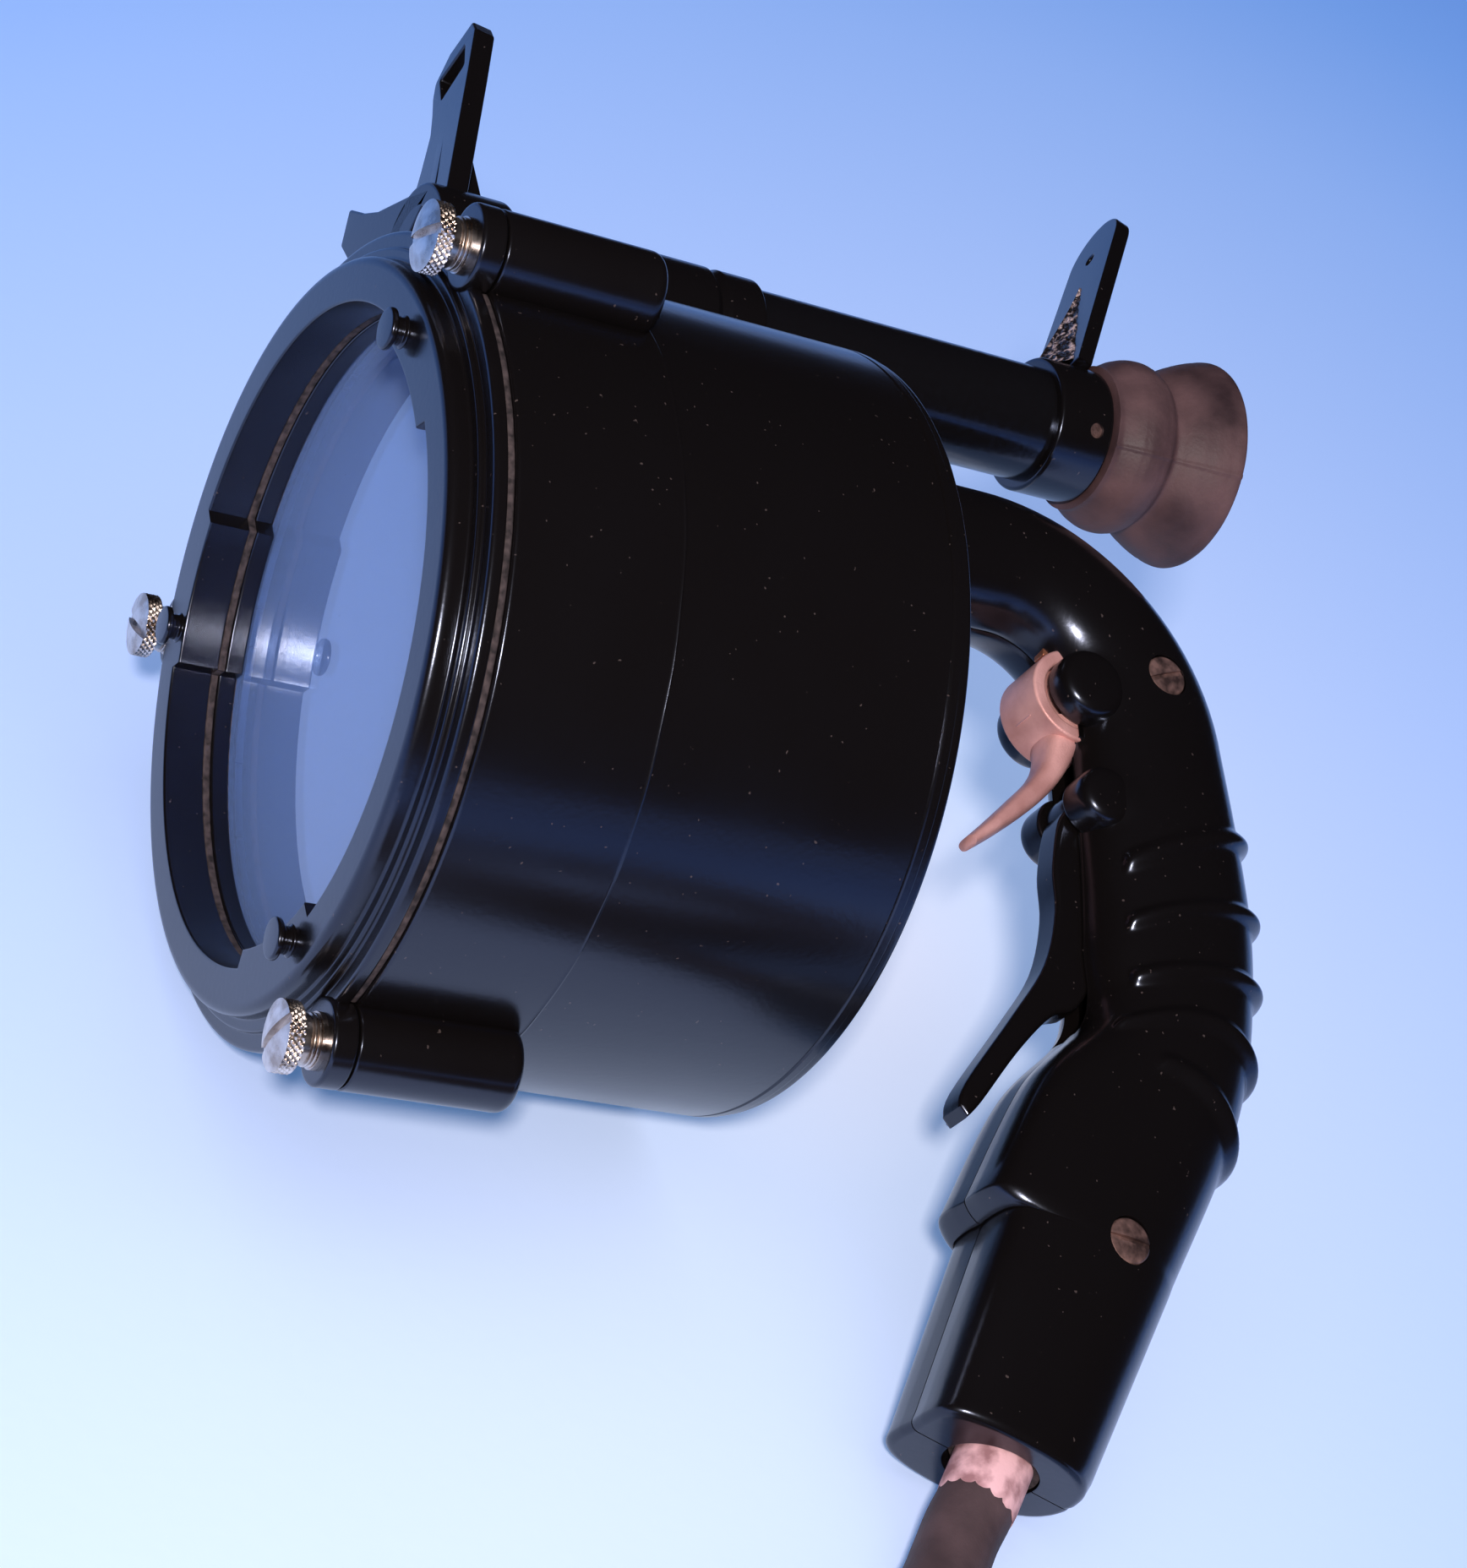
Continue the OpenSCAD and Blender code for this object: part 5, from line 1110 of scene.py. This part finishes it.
def grip_half(name, side, node):
    steps = 90
    marks = stations()
    hollow_end = len(marks) - 9
    rings = []
    for i, mark in enumerate(marks):
        outer = section(mark, 0.0, side, steps)
        if i < hollow_end:
            inner = section(mark, WALL, side, steps)
        else:
            on_axis = HEEL_EXIT + CABLE_DIR * -(((mark[0] + mark[1]) / 2 - Vector(HEEL_EXIT.yz)).length)
            inner = hole_section(Vector(on_axis.yz), 8.6 if i < len(marks) - 1 else 8.9, side, steps)
        rings.append(outer + inner[::-1])
    n = len(rings[0])
    faces = quads(len(rings), n)
    for i in (0, len(rings) - 1):
        for k in range(n // 2 - 1):
            faces.append((i * n + k, i * n + k + 1, i * n + n - 2 - k, i * n + n - 1 - k))
    shell = mesh_of([p for ring in rings for p in ring], faces, 1e-3)
    recess = [moved(turned([(0, -1), (4.6, -1), (4.6, 3.6), (0, 3.6)], 64), across(*p)) for p in GRIP_SCREWS]
    for tool in recess:
        tool.transform(shift(13.9 if side > 0 else -16.5, 0, 0))
    shell = cut(shell, recess)
    black(name, joined([shell] + cheeks(side)), node, sharp=40)


def cheeks(side):
    """Rounded cheeks beside the trigger and the lever, as discs that run into the grip."""
    out = []
    for at, radius, near, far in ((TRIGGER_AT, 7.6, 6.85, 13.2), (LEVER_AT, 6.4, 4.0, 12.2)):
        outline = filleted([(2.05, near, 0), (radius, near, 0.9), (radius, far, 4.6), (0, far + 0.5, 0),
                (0, near + 1.5, 0), (2.05, near + 1.5, 0)], 6)
        out.append(moved(turned(outline, 96), shift(0, *at) @ turn(-90 * side, "Z")))
    return out


def grip_screws():
    """Slotted heads on the near side, the plain nuts on the far side, with their shanks."""
    heads, nuts = [], []
    for number, at in enumerate(GRIP_SCREWS):
        outline = filleted([(0, 0, 0), (2, 0, 0), (2, 26.6, 0), (4.45, 26.6, 0.2), (4.45, 28.5, 0.6),
                (0, 29.0, 0)], 4)
        slot = moved(block((-8, 28.0, -0.55), (8, 31, 0.55)), turn(20 - 30 * number, "Y"))
        heads.append(moved(cut(turned(outline, 72), [slot]), across(*at) @ shift(0, -14.2, 0)))
        nut = turned(filleted([(2.05, 0, 0.2), (4.45, 0, 0.4), (4.45, 2, 0.2), (2.05, 2, 0)], 4), 72)
        nuts.append(moved(nut, across(*at) @ shift(0, -14.4, 0)))
    link("screw_heads", joined(heads), HEADS, "lamp", ("grip_screws",))
    link("screw_nuts", joined(nuts), HEADS, "lamp", ("grip_nuts",))


grip_half("grip_shell_right", 1, "grip_right")
grip_half("grip_shell_left", -1, "grip_left")
grip_screws()


# Trigger and lever

BLADE_MIDDLE = ((156.5, 14.0), (153.6, 6.0), (149.6, 0.2), (143.4, -5.6), (136.8, -11.2), (131.6, -15.3))
BLADE_HALF = (4.6, 3.0, 2.4, 2.1, 1.6, 1.15)
BLADE_WIDTH = (6.3, 4.6, 3.5, 3.3, 3.1, 2.8)


def sweep(middle, half, width, steps=10, sides=28, box=2.6):
    """A bar whose section is a rounded box, along points [y, z] with half depths and half widths."""
    path = smooth([(p[0], p[1], 0) for p in middle], steps)
    depths = smooth([(h, 0, 0) for h in half], steps)
    widths = smooth([(w, 0, 0) for w in width], steps)
    verts = []
    count = len(path)
    for i, point in enumerate(path):
        ahead = (path[min(i + 1, count - 1)] - path[max(i - 1, 0)]).normalized()
        out = Vector((-ahead.y, ahead.x))
        for a in ring_angles(sides):
            u = power(math.cos(a), 2 / box) * widths[i].x
            v = power(math.sin(a), 2 / box) * depths[i].x
            verts.append((u, point.x + out.x * v, point.y + out.y * v))
    faces = quads(count, sides) + [tuple(range(sides))]
    tip = path[-1] + (path[-1] - path[-2]).normalized() * depths[-1].x * 0.8
    verts.append((0, tip.x, tip.y))
    for k in range(sides):
        faces.append(((count - 1) * sides + k, len(verts) - 1, (count - 1) * sides + (k + 1) % sides))
    return mesh_of(verts, faces)


def trigger():
    """Cast trigger: a hood round the pin, open at the back, and a curved blade that narrows to its tip."""
    hood = []
    outer, inner = 10.4, 7.6
    arc = [math.radians(a) for a in range(95, 296, 5)]
    outline = [(outer * math.cos(a), outer * math.sin(a)) for a in arc] + \
        [(inner * math.cos(a), inner * math.sin(a)) for a in reversed(arc)]
    stand = shift(0, *TRIGGER_AT) @ UPRIGHT
    hood.append(plate([outline], 12.9, 0.6, stand, 3))
    hub = filleted([(2.05, -3.2, 0), (5.2, -3.2, 0.4), (5.2, 3.2, 0.4), (2.05, 3.2, 0)])
    hood.append(moved(turned(hub, 64), across(*TRIGGER_AT)))
    web = filleted([(-9.6, -4.5, 0), (-3, -5, 0), (3, -1, 0), (3, 6, 0), (-3, 8.5, 0), (-8.5, 5, 0)], 3)
    hood.append(plate([web], 5.6, 0.5, stand, 3))
    arm = filleted([(-3.3, 0, 0), (3.3, 0, 0), (3.3, 32.4, 3), (-3.3, 32.4, 3)], 4)
    hood.append(plate([arm], 5.6, 0.5, stand, 3))
    crank = filleted([(0, 0, 0), (1.5, 0, 0), (1.5, 5.5, 0), (2.6, 5.5, 0.2), (2.6, 6.5, 0.3), (0, 6.5, 0)])
    hood.append(moved(turned(crank, 48), across(TRIGGER_AT[0], TRIGGER_AT[1] + 32.4)))
    hood.append(sweep(BLADE_MIDDLE, BLADE_HALF, BLADE_WIDTH))
    link("trigger_casting", joined(hood), CASTING, "trigger", ("trigger",), 50)
    tab = plate([filleted([(-1.6, 0, 0.3), (1.2, 0, 0.3), (1.0, 2.6, 0.5), (-1.2, 2.6, 0.5)], 3)], 3.4, 0.3,
            shift(2.8, TRIGGER_AT[0] - 4.2, TRIGGER_AT[1] + 9.2) @ turn(90, "X") @ turn(90, "Y"))
    link("trigger_tab", tab, COPPER, "trigger")


def lever():
    """Black moulded lever along the front of the grip, its foot kicked forward."""
    front = ((154.4, -4.6), (151.6, -8.4), (148.9, -18.4), (148.1, -28.2), (143.9, -40.2), (135.2, -51.9),
            (122.7, -67.4), (120.6, -72.6))
    back = ((122.0, -74.6), (125.8, -70.9), (135.2, -59.7), (143.9, -51.2), (150, -48.6), (154.6, -42),
            (155, -36), (156.6, -20), (161, -8))
    outline = [tuple(p) for side in (front, back) for p in smooth(side, 5)]
    parts = [plate([outline], 7.0, 1.1, UPRIGHT, 4)]
    hub = filleted([(2.05, -3.5, 0), (4.9, -3.5, 0.5), (4.9, 3.5, 0.5), (2.05, 3.5, 0)])
    parts.append(moved(turned(hub, 64), across(*LEVER_AT)))
    link("lever_moulding", joined(parts), BLACK, "switch_lever", ("switch_lever",))


trigger()
lever()


# Materials of the solids that show as they are

for made, shown in (
        (GASKET, ("glass_seal", "cable_gland")),
        (STEEL, ("glass_retainer", "reflector_bracket", "holder_flange", "link_rod", "return_spring",
        "neck_screws", "trigger_pin", "lever_pin", "lever_spring", "cable_clamp")),
        (BRASS, ("retainer_screws", "threaded_inserts", "bracket_screws", "trunnion_pins", "bulb_cap",
        "holder_screws", "crank_pin", "contact_plunger", "switch_terminals", "clamp_screws")),
        (NICKEL, ("screw_washers",)), (GREY, ("reflector_carrier", "front_shade")), (PLUG, ("lamp_holder",)),
        (LENS, ("objective_lens", "eye_lens")), (HEADS, ("collar_screws",)), (BROWN, ("switch_block",))):
    for node in shown:
        dress(node, made)

bpy.context.scene.view_settings.view_transform = "Standard"
bpy.context.view_layer.update()
